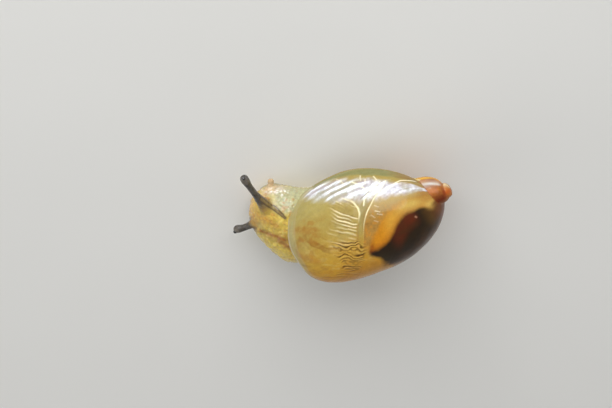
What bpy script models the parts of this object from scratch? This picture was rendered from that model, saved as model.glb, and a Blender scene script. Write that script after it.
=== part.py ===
"""Amber snail, life size, crawling.

Forward (the head) is -Y, the animal's right side is -X and up is +Z.
The sole lies in the plane z = 0.  Sizes below are in millimetres; every
finished mesh is scaled to metres.
"""

import math

import bmesh
import bpy
import numpy as np
from mathutils import Matrix, Vector

# ---------------------------------------------------------------- sizes (mm)
MM = 0.001
GAP = 0.09                      # clear space between neighbouring pieces
EYE_GAP = 0.02                  # clear space between an eye and its feeler

# shell: where it sits on the body
SHELL_APEX = (-3.004, 7.831, 2.963)
SHELL_AXIS_SWING = 22.66        # apex swung to the animal's right of straight back
SHELL_AXIS_RISE = 0.0
SHELL_ROLL = -6.4               # roll of the shell about its own axis
LIP_ANGLE = -30.0               # where the outer lip ends, below the right side

# shell: whorl sizes, one row per quarter turn counted back from the lip
# (turns back, widest radius, height of that below the apex, half height,
# roundness above the widest level, roundness below it)
WHORLS = (
    (0.00, 3.81, 6.38, 5.12, 1.66, 2.50),
    (0.25, 3.34, 6.17, 5.21, 2.15, 3.40),
    (0.50, 3.26, 5.76, 4.99, 1.97, 2.90),
    (0.75, 2.35, 4.11, 3.49, 2.00, 2.80),
    (1.00, 1.35, 2.20, 1.84, 2.55, 2.60),
    (1.25, 0.95, 1.38, 1.13, 2.30, 2.60),
    (1.50, 0.62, 0.86, 0.66, 2.20, 2.60),
    (1.75, 0.58, 0.60, 0.50, 2.10, 2.60),
    (2.00, 0.56, 0.42, 0.35, 2.00, 2.60),
    (2.50, 0.43, 0.33, 0.26, 2.00, 2.60),
    (3.00, 0.38, 0.28, 0.20, 2.00, 2.60),
)
APEX_TOP = 0.07                # level of the blunt tip
APEX_CAP_RADIUS = 0.40
APEX_CAP_HEIGHT = 0.17
SPIRE_BAND = 2.60               # levels above this are shared by all whorls
SHELL_COLUMNS = 60
SPIRE_ROWS = 14
BODY_WHORL_ROWS = 20

# body: stations from the tail tip to the snout
# (name, x, y, half width, height, height of the widest level, heading in
# degrees to the animal's right)
STATIONS = (
    ("tail_tip",   0.12,  5.10, 0.50, 0.46, 0.16,  0.0),
    ("tail",      -0.02,  4.30, 0.86, 0.66, 0.22,  0.0),
    ("tail_root", -0.14,  3.00, 1.30, 1.00, 0.30,  0.0),
    ("foot",      -0.18,  1.00, 1.72, 2.00, 0.45,  0.0),
    ("foot_front", 0.02, -0.70, 2.02, 3.05, 0.75,  2.0),
    ("neck_base",  0.42, -1.95, 2.62, 3.68, 1.20,  7.0),
    ("neck",       0.38, -2.80, 2.76, 3.56, 1.42, 12.0),
    ("neck_front",-0.11, -3.53, 2.49, 3.30, 1.45, 18.0),
    ("nape",      -0.53, -4.11, 2.15, 3.00, 1.40, 23.0),
    ("head",      -0.98, -4.61, 1.76, 2.72, 1.34, 28.0),
    ("brow",      -1.32, -5.02, 1.54, 2.54, 1.28, 31.0),
    ("snout",     -1.61, -5.39, 1.42, 2.38, 1.20, 33.0),
)
SNOUT_ROUND = 1.15              # length over which the snout rounds off
TAIL_ROUND = 2.10               # length over which the tail tapers
SOLE_SINK = 1.22                # the flank's lower curve is cut flat by the floor
CHIN_LIFT = 0.16                # the snout's underside clears the floor
FLANK_POWER = 2.25
BODY_RINGS = 40
RING_POINTS = 28

# where the body is divided, as fractions of its length from the tail tip
TAIL_TO_FOOT = 0.235
FOOT_TO_NECK = 0.635
NECK_TO_HEAD = 0.815

# feelers: root, middle and tip centre, with radii at root, waist and bulb; an
# upper feeler flares into the head over the first part of its length
UPPER_RIGHT = dict(root=(-1.55, -4.25, 2.02), middle=(-3.40, -5.00, 2.55),
                   tip=(-4.88, -5.52, 2.80), radii=(0.66, 0.26, 0.32))
UPPER_LEFT = dict(root=(-0.75, -4.85, 1.98), middle=(-0.25, -5.75, 2.05),
                  tip=(0.04, -6.50, 1.95), radii=(0.56, 0.28, 0.31))
LOWER_RIGHT = dict(root=(-1.95, -4.15, 0.95), middle=(-2.42, -4.05, 0.80),
                   tip=(-2.80, -4.02, 0.72), radii=(0.32, 0.26, 0.25))
LOWER_LEFT = dict(root=(-0.42, -4.75, 0.80), middle=(-0.26, -5.20, 0.64),
                  tip=(-0.18, -5.48, 0.55), radii=(0.32, 0.26, 0.25))
FEELER_RINGS = 10
FEELER_POINTS = 14
EYE_RADIUS = 0.135
EYE_PROUD = 0.055               # how far the eye stands out of the bulb

COLOURS = {
    "shell": (0.62, 0.34, 0.08, 1.0),
    "flesh": (0.55, 0.43, 0.20, 1.0),
    "feeler": (0.10, 0.095, 0.08, 1.0),
    "eye": (0.01, 0.01, 0.01, 1.0),
}


# ---------------------------------------------------------------- helpers
def clear():
    for ob in list(bpy.data.objects):
        bpy.data.objects.remove(ob, do_unlink=True)
    for block in (bpy.data.meshes, bpy.data.materials, bpy.data.cameras,
                  bpy.data.lights):
        for item in list(block):
            block.remove(item)


def material(name, colour, rough, coat=0.0):
    mat = bpy.data.materials.new(name)
    mat.use_nodes = True
    node = mat.node_tree.nodes["Principled BSDF"]
    node.inputs["Base Color"].default_value = colour
    node.inputs["Roughness"].default_value = rough
    node.inputs["Coat Weight"].default_value = coat
    mat.diffuse_color = colour
    return mat


def mesh_object(name, verts, faces):
    mesh = bpy.data.meshes.new(name)
    mesh.from_pydata([tuple(map(float, v)) for v in verts], [], faces)
    bm = bmesh.new()
    bm.from_mesh(mesh)
    bmesh.ops.remove_doubles(bm, verts=bm.verts, dist=1e-5)
    bmesh.ops.dissolve_degenerate(bm, edges=bm.edges, dist=1e-6)
    bmesh.ops.triangulate(bm, faces=[f for f in bm.faces if len(f.verts) > 4])
    bmesh.ops.recalc_face_normals(bm, faces=bm.faces)
    bm.to_mesh(mesh)
    bm.free()
    ob = bpy.data.objects.new(name, mesh)
    bpy.context.scene.collection.objects.link(ob)
    return ob


def hermite(table, column, at):
    """Smooth interpolation of one column of a table over its first column."""
    xs = np.array([row[0] for row in table], float)
    ys = np.array([row[column] for row in table], float)
    slopes = np.gradient(ys, xs)
    p = np.clip(np.asarray(at, float), xs[0], xs[-1])
    i = np.clip(np.searchsorted(xs, p, side="right") - 1, 0, len(xs) - 2)
    h = xs[i + 1] - xs[i]
    t = (p - xs[i]) / h
    return ((2 * t**3 - 3 * t**2 + 1) * ys[i]
            + (t**3 - 2 * t**2 + t) * h * slopes[i]
            + (3 * t**2 - 2 * t**3) * ys[i + 1]
            + (t**3 - t**2) * h * slopes[i + 1])


# ---------------------------------------------------------------- shell
LOG_WHORLS = tuple((row[0],) + tuple(math.log(v) for v in row[1:4])
                   for row in WHORLS)


def whorl(turns):
    """Widest radius, its level and the half height, `turns` back from the lip."""
    return [np.exp(hermite(LOG_WHORLS, k, turns)) for k in (1, 2, 3)]


def whorl_radius(turns, level, grow=0.0):
    wide, middle, half = whorl(turns)
    power = np.where(level < middle, hermite(WHORLS, 4, turns),
                     hermite(WHORLS, 5, turns))
    left = np.clip(1 - np.abs((level - middle) / (half + grow)) ** power, 0, None)
    return (wide + grow) * left ** (1 / power)


def shell_radius(turn, level, grow=0.0):
    """Outermost whorl's radius at a level below the apex; turn is 0 to 1."""
    height = APEX_CAP_HEIGHT + grow
    cap = (APEX_CAP_RADIUS + grow) * np.sqrt(np.clip(
        1 - ((level - APEX_TOP - APEX_CAP_HEIGHT) / height) ** 2, 0, None))
    return np.maximum.reduce([whorl_radius(turn, level, grow),
                              whorl_radius(turn + 1, level, grow),
                              whorl_radius(turn + 2, level, grow), cap])


def shell_base(turn, grow=0.0):
    wide, middle, half = whorl(turn)
    return middle + half + grow


def shell_frame():
    """Shell axis (towards the apex) and the two directions across it."""
    swing, rise = math.radians(SHELL_AXIS_SWING), math.radians(SHELL_AXIS_RISE)
    axis = Vector((-math.sin(swing) * math.cos(rise),
                   math.cos(swing) * math.cos(rise), math.sin(rise)))
    right = Vector((0, 0, 1)).cross(axis).normalized()
    right.negate() if right.x > 0 else None
    up = Vector((0, 0, 1)) - axis * axis.z
    up.normalize()
    roll = math.radians(SHELL_ROLL)
    east = right * math.cos(roll) - up * math.sin(roll)
    north = right * math.sin(roll) + up * math.cos(roll)
    return (np.array(axis), np.array(east), np.array(north))


def shell_point(angle, radius, level):
    axis, east, north = shell_frame()
    return (np.array(SHELL_APEX) - level * axis
            + radius * (math.cos(angle) * east + math.sin(angle) * north))


def build_shell(name="shell", grow=0.0, drop=0.0):
    """The shell as one filled solid, its mouth closed by a flat face.

    `grow` swells it evenly and `drop` moves it out through its mouth; both
    are used to clear the flesh away from it.
    """
    columns, rows = SHELL_COLUMNS, SPIRE_ROWS + BODY_WHORL_ROWS
    top = APEX_TOP - grow
    spire = top + (SPIRE_BAND - top) * (
        np.arange(SPIRE_ROWS + 1) / SPIRE_ROWS) ** 1.25
    lip = math.radians(LIP_ANGLE)
    axis, east, north = shell_frame()
    out = math.sin(lip) * east - math.cos(lip) * north
    verts, index = [], {}
    base = float(shell_base(0.0, grow)) + 0.01
    for i in range(columns + 1):
        turn = i / columns
        angle = lip + 2 * math.pi * turn
        base = min(float(shell_base(turn, grow)), base - 0.01)
        part = np.arange(1, BODY_WHORL_ROWS + 1) / BODY_WHORL_ROWS
        part = np.sin(part * math.pi / 2) ** 0.9
        levels = np.concatenate([spire, SPIRE_BAND + (base - SPIRE_BAND) * part])
        radii = shell_radius(turn, levels, grow)
        radii[0] = 0.0
        radii[-1] = 0.0
        for k in range(rows + 1):
            index[i, k] = len(verts)
            verts.append(shell_point(angle, float(radii[k]), float(levels[k]))
                         + drop * out)
    faces = []
    for i in range(columns):
        for k in range(rows):
            faces.append((index[i, k], index[i + 1, k],
                          index[i + 1, k + 1], index[i, k + 1]))
    # the flat face across the mouth, between the lip and the inner whorl
    for k in range(rows - 1):
        faces.append((index[0, k], index[0, k + 1],
                      index[columns, k + 1], index[columns, k]))
    for i in range(columns):
        faces.append((index[0, rows - 1], index[i, rows], index[i + 1, rows]))
    faces.append((index[0, rows - 1], index[columns, rows],
                  index[columns, rows - 1]))
    return mesh_object(name, verts, faces)


# ---------------------------------------------------------------- body
def station_lengths():
    x = np.array([s[1] for s in STATIONS])
    y = np.array([s[2] for s in STATIONS])
    steps = np.hypot(np.diff(x), np.diff(y))
    return np.concatenate([[0], np.cumsum(steps)])


LENGTHS = station_lengths()
BODY_LENGTH = float(LENGTHS[-1])
BODY_TABLE = tuple((LENGTHS[i],) + tuple(STATIONS[i][1:])
                   for i in range(len(STATIONS)))


def body_section(at):
    """Closed section of the body, `at` mm from the tail tip."""
    x, y, wide, tall, middle, heading = (float(hermite(BODY_TABLE, k, at))
                                         for k in range(1, 7))
    heading = math.radians(heading)
    side = np.array([math.cos(heading), -math.sin(heading), 0.0])
    front = BODY_LENGTH - at
    cap = low_cap = 1.0
    if front < SNOUT_ROUND:
        cap = low_cap = math.sqrt(max(1 - (1 - front / SNOUT_ROUND) ** 2, 0.0))
    if at < TAIL_ROUND:
        # the tail thins out on to the floor, its sole flat up to the tip
        share = at / TAIL_ROUND
        cap = (1 - (1 - share) ** 2) ** 0.72
        middle *= (1 - (1 - share) ** 2) ** 0.90
    chin = CHIN_LIFT * max(0.0, 1 - front / 1.6)
    ring = []
    for j in range(RING_POINTS):
        a = 2 * math.pi * j / RING_POINTS
        c, s = math.cos(a), math.sin(a)
        u = math.copysign(abs(c) ** (2 / FLANK_POWER), c)
        w = math.copysign(abs(s) ** (2 / FLANK_POWER), s)
        across = wide * cap * u
        if s >= 0:
            z = middle + (tall - middle) * cap * w
        else:
            z = middle + middle * SOLE_SINK * low_cap * w
        ring.append(np.array([x, y, 0.0]) + side * across
                    + np.array([0, 0, max(z, chin if front < 1.6 else 0.0)]))
    return ring


def build_body(name, start, end):
    """One length of the body, closed at both ends."""
    at = [s for s in np.linspace(0.0, BODY_LENGTH, BODY_RINGS + 1)
          if start + 0.04 < s < end - 0.04]
    at = [start] + at + [end]
    verts, faces = [], []
    for s in at:
        s = min(max(s, 0.020), BODY_LENGTH - 0.012)
        verts.extend(body_section(s))
    n = RING_POINTS
    for i in range(len(at) - 1):
        for j in range(n):
            k = (j + 1) % n
            faces.append((i * n + j, i * n + k, (i + 1) * n + k, (i + 1) * n + j))
    faces.append(tuple(range(n)))
    faces.append(tuple((len(at) - 1) * n + j for j in reversed(range(n))))
    return mesh_object(name, verts, faces)


# ---------------------------------------------------------------- feelers
def curve_point(spec, t):
    root, mid, tip = (np.array(spec[k]) for k in ("root", "middle", "tip"))
    control = 2 * mid - 0.5 * (root + tip)
    return (1 - t) ** 2 * root + 2 * t * (1 - t) * control + t**2 * tip


def build_feeler(name, spec, grow=0.0):
    radii = spec["radii"]
    verts, faces = [], []
    rings = []
    for i in range(FEELER_RINGS + 1):
        t = i / FEELER_RINGS
        waist = radii[1] + (radii[0] - radii[1]) * max(0.0, 1 - t / 0.55) ** 1.6
        bulb = (radii[2] - radii[1]) * max(0.0, (t - 0.62) / 0.38) ** 1.3
        rings.append((curve_point(spec, t), waist + bulb, t))
    tip_dir = curve_point(spec, 1.0) - curve_point(spec, 0.94)
    tip_dir /= np.linalg.norm(tip_dir)
    tip_radius = rings[-1][1]
    for k in range(1, 6):
        a = k * math.pi / 2 / 6
        rings.append((rings[FEELER_RINGS][0] + tip_dir * tip_radius * math.sin(a),
                      tip_radius * math.cos(a), 1.0))
    n = FEELER_POINTS
    for centre, radius, t in rings:
        tangent = curve_point(spec, min(t + 0.03, 1.0)) - curve_point(spec, t - 0.03)
        tangent /= np.linalg.norm(tangent)
        side = np.cross(tangent, (0, 0, 1))
        side /= np.linalg.norm(side)
        up = np.cross(side, tangent)
        for j in range(n):
            a = 2 * math.pi * j / n
            verts.append(centre + (radius + grow) * (math.cos(a) * side
                                                     + math.sin(a) * up))
    last = len(rings) - 1
    tip_index = len(verts)
    verts.append(rings[FEELER_RINGS][0] + tip_dir * (tip_radius + grow))
    for i in range(last):
        for j in range(n):
            k = (j + 1) % n
            faces.append((i * n + j, i * n + k, (i + 1) * n + k, (i + 1) * n + j))
    for j in range(n):
        faces.append((last * n + j, last * n + (j + 1) % n, tip_index))
    faces.append(tuple(range(n)))
    return mesh_object(name, verts, faces)


def eye_centre(spec, toward):
    tip = curve_point(spec, 1.0)
    along = tip - curve_point(spec, 0.94)
    along /= np.linalg.norm(along)
    aim = along * 0.75 + np.array(toward)
    aim /= np.linalg.norm(aim)
    return tip + aim * (spec["radii"][2] - EYE_RADIUS + EYE_PROUD)


def build_eye(name, centre, radius):
    mesh = bpy.data.meshes.new(name)
    bm = bmesh.new()
    bmesh.ops.create_uvsphere(bm, u_segments=12, v_segments=8, radius=radius)
    bmesh.ops.translate(bm, verts=bm.verts, vec=Vector(centre))
    bm.to_mesh(mesh)
    bm.free()
    ob = bpy.data.objects.new(name, mesh)
    bpy.context.scene.collection.objects.link(ob)
    return ob


# ---------------------------------------------------------------- fitting
def collapsible(edge):
    """A short edge can close up if its ends share just two neighbours."""
    a, b = edge.verts
    near = [{e.other_vert(v) for e in v.link_edges} for v in (a, b)]
    return len(near[0] & near[1]) == 2 and len(edge.link_faces) == 2


def cut(ob, cutters):
    """Take the cutters away from a piece and keep its largest lump."""
    for cutter in cutters:
        mod = ob.modifiers.new("cut", "BOOLEAN")
        mod.operation = "DIFFERENCE"
        mod.solver = "EXACT"
        mod.use_self = True
        mod.object = cutter
    deps = bpy.context.evaluated_depsgraph_get()
    mesh = bpy.data.meshes.new_from_object(ob.evaluated_get(deps))
    ob.modifiers.clear()
    bm = bmesh.new()
    bm.from_mesh(mesh)
    bmesh.ops.triangulate(bm, faces=bm.faces)
    for e in [e for e in bm.edges if e.is_valid and e.calc_length() < 4e-3]:
        if e.is_valid and e.calc_length() < 4e-3 and collapsible(e):
            bmesh.ops.pointmerge(bm, verts=list(e.verts), merge_co=e.verts[0].co)
    left, lumps = set(bm.faces), []
    while left:
        seed = left.pop()
        lump, edge = [seed], [seed]
        while edge:
            f = edge.pop()
            for e in f.edges:
                for o in e.link_faces:
                    if o in left:
                        left.discard(o)
                        lump.append(o)
                        edge.append(o)
        lumps.append(lump)
    lumps.sort(key=len, reverse=True)
    for lump in lumps[1:]:
        bmesh.ops.delete(bm, geom=lump, context="FACES")
    bm.to_mesh(mesh)
    bm.free()
    ob.data = mesh
    return ob


def finish(ob, mat):
    ob.data.materials.clear()
    ob.data.materials.append(mat)
    ob.data.transform(Matrix.Scale(MM, 4))
    ob.data.name = ob.name
    ob.data.update()


def main():
    clear()
    mats = {
        "shell": material("shell_wall", COLOURS["shell"], 0.25, 0.6),
        "flesh": material("flesh", COLOURS["flesh"], 0.35, 0.3),
        "feeler": material("feeler_skin", COLOURS["feeler"], 0.35, 0.3),
        "eye": material("eye", COLOURS["eye"], 0.1, 0.5),
    }
    half = GAP / 2
    cuts = [0.0, TAIL_TO_FOOT * BODY_LENGTH, FOOT_TO_NECK * BODY_LENGTH,
            NECK_TO_HEAD * BODY_LENGTH, BODY_LENGTH]
    names = ["tail", "foot", "neck", "head"]
    body = []
    for k, name in enumerate(names):
        start = cuts[k] + (half if k else 0.0)
        end = cuts[k + 1] - (half if k < 3 else 0.0)
        body.append(build_body(name, start, end))

    shell = build_shell()
    clearance = build_shell("shell_clearance", grow=1.4 * GAP, drop=GAP)
    for ob in body:
        cut(ob, [clearance])

    feelers = {
        "tentacle_upper_right": UPPER_RIGHT,
        "tentacle_upper_left": UPPER_LEFT,
        "tentacle_lower_right": LOWER_RIGHT,
        "tentacle_lower_left": LOWER_LEFT,
    }
    eyes = {
        "eye_right": (UPPER_RIGHT, (-0.25, 0.10, 0.85)),
        "eye_left": (UPPER_LEFT, (0.35, -0.10, 0.80)),
    }
    built = {}
    for name, spec in feelers.items():
        grown = build_feeler(name + "_clearance", spec, grow=GAP)
        cut(body[3], [grown])
        bpy.data.objects.remove(grown, do_unlink=True)
        built[name] = build_feeler(name, spec)
    for name, (spec, toward) in eyes.items():
        centre = eye_centre(spec, toward)
        grown = build_eye(name + "_clearance", centre, EYE_RADIUS + EYE_GAP)
        owner = name.replace("eye", "tentacle_upper")
        cut(built[owner], [grown])
        bpy.data.objects.remove(grown, do_unlink=True)
        built[name] = build_eye(name, centre, EYE_RADIUS)
    bpy.data.objects.remove(clearance, do_unlink=True)

    finish(shell, mats["shell"])
    for ob in body:
        finish(ob, mats["flesh"])
    for name, ob in built.items():
        finish(ob, mats["eye" if name.startswith("eye") else "feeler"])


main()
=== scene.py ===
import math

import bmesh
import bpy
import numpy as np
from mathutils import Matrix, Vector


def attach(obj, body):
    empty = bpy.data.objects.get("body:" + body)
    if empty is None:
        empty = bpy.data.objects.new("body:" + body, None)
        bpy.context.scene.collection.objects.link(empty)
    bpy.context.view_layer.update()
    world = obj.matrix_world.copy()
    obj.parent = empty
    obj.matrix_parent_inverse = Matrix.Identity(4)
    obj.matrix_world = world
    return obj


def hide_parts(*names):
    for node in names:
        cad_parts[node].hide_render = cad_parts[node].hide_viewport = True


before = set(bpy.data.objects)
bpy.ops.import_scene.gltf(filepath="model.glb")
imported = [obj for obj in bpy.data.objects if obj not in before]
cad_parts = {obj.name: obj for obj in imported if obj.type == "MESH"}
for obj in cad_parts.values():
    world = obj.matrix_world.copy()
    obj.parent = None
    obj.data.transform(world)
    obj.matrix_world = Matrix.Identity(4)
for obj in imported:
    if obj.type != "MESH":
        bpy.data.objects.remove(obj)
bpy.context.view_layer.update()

# Amber snail, life size.  Head towards -Y, the animal's right is -X, up is +Z.
# Shapes are worked out in millimetres and scaled to metres at the end.
MM = 0.001

# ------------------------------------------------------------------ sizes
SHELL_APEX = (-3.004, 7.831, 2.963)
SHELL_AXIS_SWING = 22.66
SHELL_ROLL = -6.4
LIP_ANGLE = -30.0
WHORLS = (
    (0.00, 3.81, 6.38, 5.12, 1.66, 2.50),
    (0.25, 3.34, 6.17, 5.21, 2.15, 3.40),
    (0.50, 3.26, 5.76, 4.99, 1.97, 2.90),
    (0.75, 2.35, 4.11, 3.49, 2.00, 2.80),
    (1.00, 1.35, 2.20, 1.84, 2.55, 2.60),
    (1.25, 0.95, 1.38, 1.13, 2.30, 2.60),
    (1.50, 0.62, 0.86, 0.66, 2.20, 2.60),
    (1.75, 0.58, 0.60, 0.50, 2.10, 2.60),
    (2.00, 0.56, 0.42, 0.35, 2.00, 2.60),
    (2.50, 0.43, 0.33, 0.26, 2.00, 2.60),
    (3.00, 0.38, 0.28, 0.20, 2.00, 2.60),
)
APEX_TOP = 0.07
APEX_CAP_RADIUS = 0.40
APEX_CAP_HEIGHT = 0.17
SPIRE_BAND = 2.60
WALL = 0.13                     # thickness of the shell wall
# where the thin wall ends in front: (degrees back from the lip, level)
RIM = ((0, 9.70), (10, 10.25), (19, 10.48), (34, 10.67), (49, 10.86), (68, 11.00),
       (84, 10.95), (98, 10.85), (119, 10.80), (150, 10.50), (180, 10.00),
       (270, 6.95), (360, 3.50))

STATIONS = (
    ("tail_tip",   0.12,  5.10, 0.50, 0.46, 0.16,  0.0),
    ("tail",      -0.02,  4.30, 0.86, 0.66, 0.22,  0.0),
    ("tail_root", -0.14,  3.00, 1.30, 1.00, 0.30,  0.0),
    ("foot",      -0.18,  1.00, 1.72, 2.00, 0.45,  0.0),
    ("foot_front", 0.02, -0.70, 2.02, 3.05, 0.75,  2.0),
    ("neck_base",  0.42, -1.95, 2.62, 3.68, 1.20,  7.0),
    ("neck",       0.38, -2.80, 2.76, 3.56, 1.42, 12.0),
    ("neck_front",-0.11, -3.53, 2.49, 3.30, 1.45, 18.0),
    ("nape",      -0.53, -4.11, 2.15, 3.00, 1.40, 23.0),
    ("head",      -0.98, -4.61, 1.76, 2.72, 1.34, 28.0),
    ("brow",      -1.32, -5.02, 1.54, 2.54, 1.28, 31.0),
    ("snout",     -1.61, -5.39, 1.42, 2.38, 1.20, 33.0),
)
SNOUT_ROUND = 1.15
TAIL_ROUND = 2.10
SOLE_SINK = 1.22
CHIN_LIFT = 0.16
FLANK_POWER = 2.25

UPPER_RIGHT = dict(root=(-1.55, -4.25, 2.02), middle=(-3.40, -5.00, 2.55),
                   tip=(-4.88, -5.52, 2.80), radii=(0.62, 0.235, 0.305))
UPPER_LEFT = dict(root=(-0.75, -4.85, 1.98), middle=(-0.25, -5.75, 2.05),
                  tip=(0.04, -6.50, 1.95), radii=(0.52, 0.25, 0.295))
LOWER_RIGHT = dict(root=(-1.95, -4.15, 0.95), middle=(-2.42, -4.05, 0.80),
                   tip=(-2.80, -4.02, 0.72), radii=(0.30, 0.235, 0.235))
LOWER_LEFT = dict(root=(-0.42, -4.75, 0.80), middle=(-0.26, -5.20, 0.64),
                  tip=(-0.18, -5.48, 0.55), radii=(0.30, 0.235, 0.235))
EYE_RADIUS = 0.135
EYE_PROUD = 0.055
EYE_SEATS = {"eye_right": (UPPER_RIGHT, 0.32, (-0.25, 0.10, 0.85)),
             "eye_left": (UPPER_LEFT, 0.31, (0.35, -0.10, 0.80))}


# ------------------------------------------------------------------ helpers
def lin(r, g, b):
    """Linear colour of an everyday 0 to 255 one."""
    c = np.array([r, g, b], float) / 255
    return np.where(c <= 0.04045, c / 12.92, ((c + 0.055) / 1.055) ** 2.4)


def ease(a, b, x):
    """0 below a, 1 above b, smooth between; a may be the larger."""
    t = np.clip((x - a) / (b - a), 0, 1)
    return t * t * (3 - 2 * t)


def bump(x, centre, width):
    """1 at the centre, fading to 0 one width away."""
    return 1 - ease(0, width, np.abs(x - centre))


def mix(base, colour, amount):
    amount = np.clip(amount, 0, 1)
    if np.ndim(colour) == 1:
        colour = np.asarray(colour)[None, :]
    return base * (1 - amount[:, None]) + colour * amount[:, None]


def hermite(table, column, at):
    xs = np.array([row[0] for row in table], float)
    ys = np.array([row[column] for row in table], float)
    slopes = np.gradient(ys, xs)
    p = np.clip(np.asarray(at, float), xs[0], xs[-1])
    i = np.clip(np.searchsorted(xs, p, side="right") - 1, 0, len(xs) - 2)
    h = xs[i + 1] - xs[i]
    t = (p - xs[i]) / h
    return ((2 * t**3 - 3 * t**2 + 1) * ys[i]
            + (t**3 - 2 * t**2 + t) * h * slopes[i]
            + (3 * t**2 - 2 * t**3) * ys[i + 1]
            + (t**3 - t**2) * h * slopes[i + 1])


def scramble(ix, iy, iz, seed):
    h = (ix * 374761393 + iy * 668265263 + iz * 1442695041 + seed * 974711) & 0xFFFFFFFF
    h = ((h ^ (h >> 13)) * 1274126177) & 0xFFFFFFFF
    h = ((h ^ (h >> 15)) * 2246822519) & 0xFFFFFFFF
    return ((h ^ (h >> 16)) & 0xFFFFFF) / float(0xFFFFFF)


def noise(p, seed=0):
    """Smooth value noise in -1..1 at points p (n x 3)."""
    p = np.asarray(p, float)
    base = np.floor(p).astype(np.int64)
    f = p - base
    f = f * f * f * (f * (f * 6 - 15) + 10)
    total = np.zeros(len(p))
    for dx in (0, 1):
        wx = f[:, 0] if dx else 1 - f[:, 0]
        for dy in (0, 1):
            wy = f[:, 1] if dy else 1 - f[:, 1]
            for dz in (0, 1):
                wz = f[:, 2] if dz else 1 - f[:, 2]
                total += wx * wy * wz * scramble(base[:, 0] + dx, base[:, 1] + dy,
                                                 base[:, 2] + dz, seed)
    return total * 2 - 1


def fbm(p, octaves=3, seed=0):
    p = np.asarray(p, float)
    total, weight, norm = 0.0, 1.0, 0.0
    for k in range(octaves):
        total = total + weight * noise(p * 2.03**k + 17.3 * k, seed + k)
        norm += weight
        weight *= 0.5
    return total / norm


def cells(p, seed=0):
    """Distance to the nearest and the next scattered point, cell size 1."""
    p = np.asarray(p, float)
    base = np.floor(p).astype(np.int64)
    near = np.full(len(p), 9.0)
    second = np.full(len(p), 9.0)
    for dx in (-1, 0, 1):
        for dy in (-1, 0, 1):
            for dz in (-1, 0, 1):
                c = base + np.array([dx, dy, dz])
                q = c + np.stack([scramble(c[:, 0], c[:, 1], c[:, 2], seed + s)
                                  for s in (11, 23, 37)], 1)
                d = np.sqrt(((q - p) ** 2).sum(1))
                second = np.minimum(second, np.maximum(near, d))
                near = np.minimum(near, d)
    return near, second


def curve_noise(x, seed=0):
    """Noise along a single number."""
    x = np.asarray(x, float)
    return noise(np.stack([x, np.full_like(x, 0.37), np.full_like(x, 0.61)], 1), seed)


def new_object(name, verts, faces, smooth=True):
    mesh = bpy.data.meshes.new(name)
    mesh.from_pydata(np.asarray(verts, float).tolist(), [], faces)
    mesh.validate()
    mesh.update()
    ob = bpy.data.objects.new(name, mesh)
    bpy.context.scene.collection.objects.link(ob)
    if smooth:
        mesh.polygons.foreach_set("use_smooth", [True] * len(mesh.polygons))
    return ob


def get_points(ob):
    co = np.empty(len(ob.data.vertices) * 3)
    ob.data.vertices.foreach_get("co", co)
    return co.reshape(-1, 3)


def set_points(ob, points):
    ob.data.vertices.foreach_set("co", np.asarray(points, float).ravel())
    ob.data.update()


def get_normals(ob):
    co = np.empty(len(ob.data.vertices) * 3)
    ob.data.vertices.foreach_get("normal", co)
    return co.reshape(-1, 3)


def paint(ob, name, colour):
    attr = ob.data.color_attributes.new(name, "FLOAT_COLOR", "POINT")
    rgba = np.ones((len(colour), 4))
    rgba[:, :3] = np.clip(colour, 0, 1)
    attr.data.foreach_set("color", rgba.ravel())


def weigh(ob, name, value):
    attr = ob.data.attributes.new(name, "FLOAT", "POINT")
    attr.data.foreach_set("value", np.asarray(value, float).ravel())


# ------------------------------------------------------------------ shell form
LOG_WHORLS = tuple((row[0],) + tuple(math.log(v) for v in row[1:4])
                   for row in WHORLS)


def whorl(turns):
    return [np.exp(hermite(LOG_WHORLS, k, turns)) for k in (1, 2, 3)]


def whorl_radius(turns, level, grow=0.0):
    wide, middle, half = whorl(turns)
    power = np.where(level < middle, hermite(WHORLS, 4, turns),
                     hermite(WHORLS, 5, turns))
    left = np.clip(1 - np.abs((level - middle) / (half + grow)) ** power, 0, None)
    return (wide + grow) * left ** (1 / power)


def older_radius(turn, level, grow=0.0):
    height = APEX_CAP_HEIGHT + grow
    cap = (APEX_CAP_RADIUS + grow) * np.sqrt(np.clip(
        1 - ((level - APEX_TOP - APEX_CAP_HEIGHT) / height) ** 2, 0, None))
    return np.maximum.reduce([whorl_radius(turn + 1, level, grow),
                              whorl_radius(turn + 2, level, grow), cap])


def shell_radius(turn, level, grow=0.0):
    return np.maximum(whorl_radius(turn, level, grow),
                      older_radius(turn, level, grow))


def shell_base(turn, grow=0.0):
    wide, middle, half = whorl(turn)
    return middle + half + grow


def shell_axes():
    swing = math.radians(SHELL_AXIS_SWING)
    axis = np.array([-math.sin(swing), math.cos(swing), 0.0])
    right = np.array([-axis[1], axis[0], 0.0])
    up = np.array([0.0, 0.0, 1.0])
    roll = math.radians(SHELL_ROLL)
    return (axis, right * math.cos(roll) - up * math.sin(roll),
            right * math.sin(roll) + up * math.cos(roll))


AXIS, EAST, NORTH = shell_axes()
APEX = np.array(SHELL_APEX)


def shell_place(turn, radius, level):
    angle = math.radians(LIP_ANGLE) + 2 * math.pi * np.asarray(turn, float)
    return (APEX - np.asarray(level)[..., None] * AXIS
            + np.asarray(radius)[..., None] * (np.cos(angle)[..., None] * EAST
                                               + np.sin(angle)[..., None] * NORTH))


def shell_coords(points):
    """Turn (0 to 1), level and radius of points in mm."""
    rel = points - APEX
    level = -(rel @ AXIS)
    e, n = rel @ EAST, rel @ NORTH
    angle = np.degrees(np.arctan2(n, e)) - LIP_ANGLE
    return (angle % 360) / 360, level, np.hypot(e, n)


def rim_level(turn):
    """Where the thin wall ends, in front."""
    return hermite(RIM, 1, np.asarray(turn, float) * 360)


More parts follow.
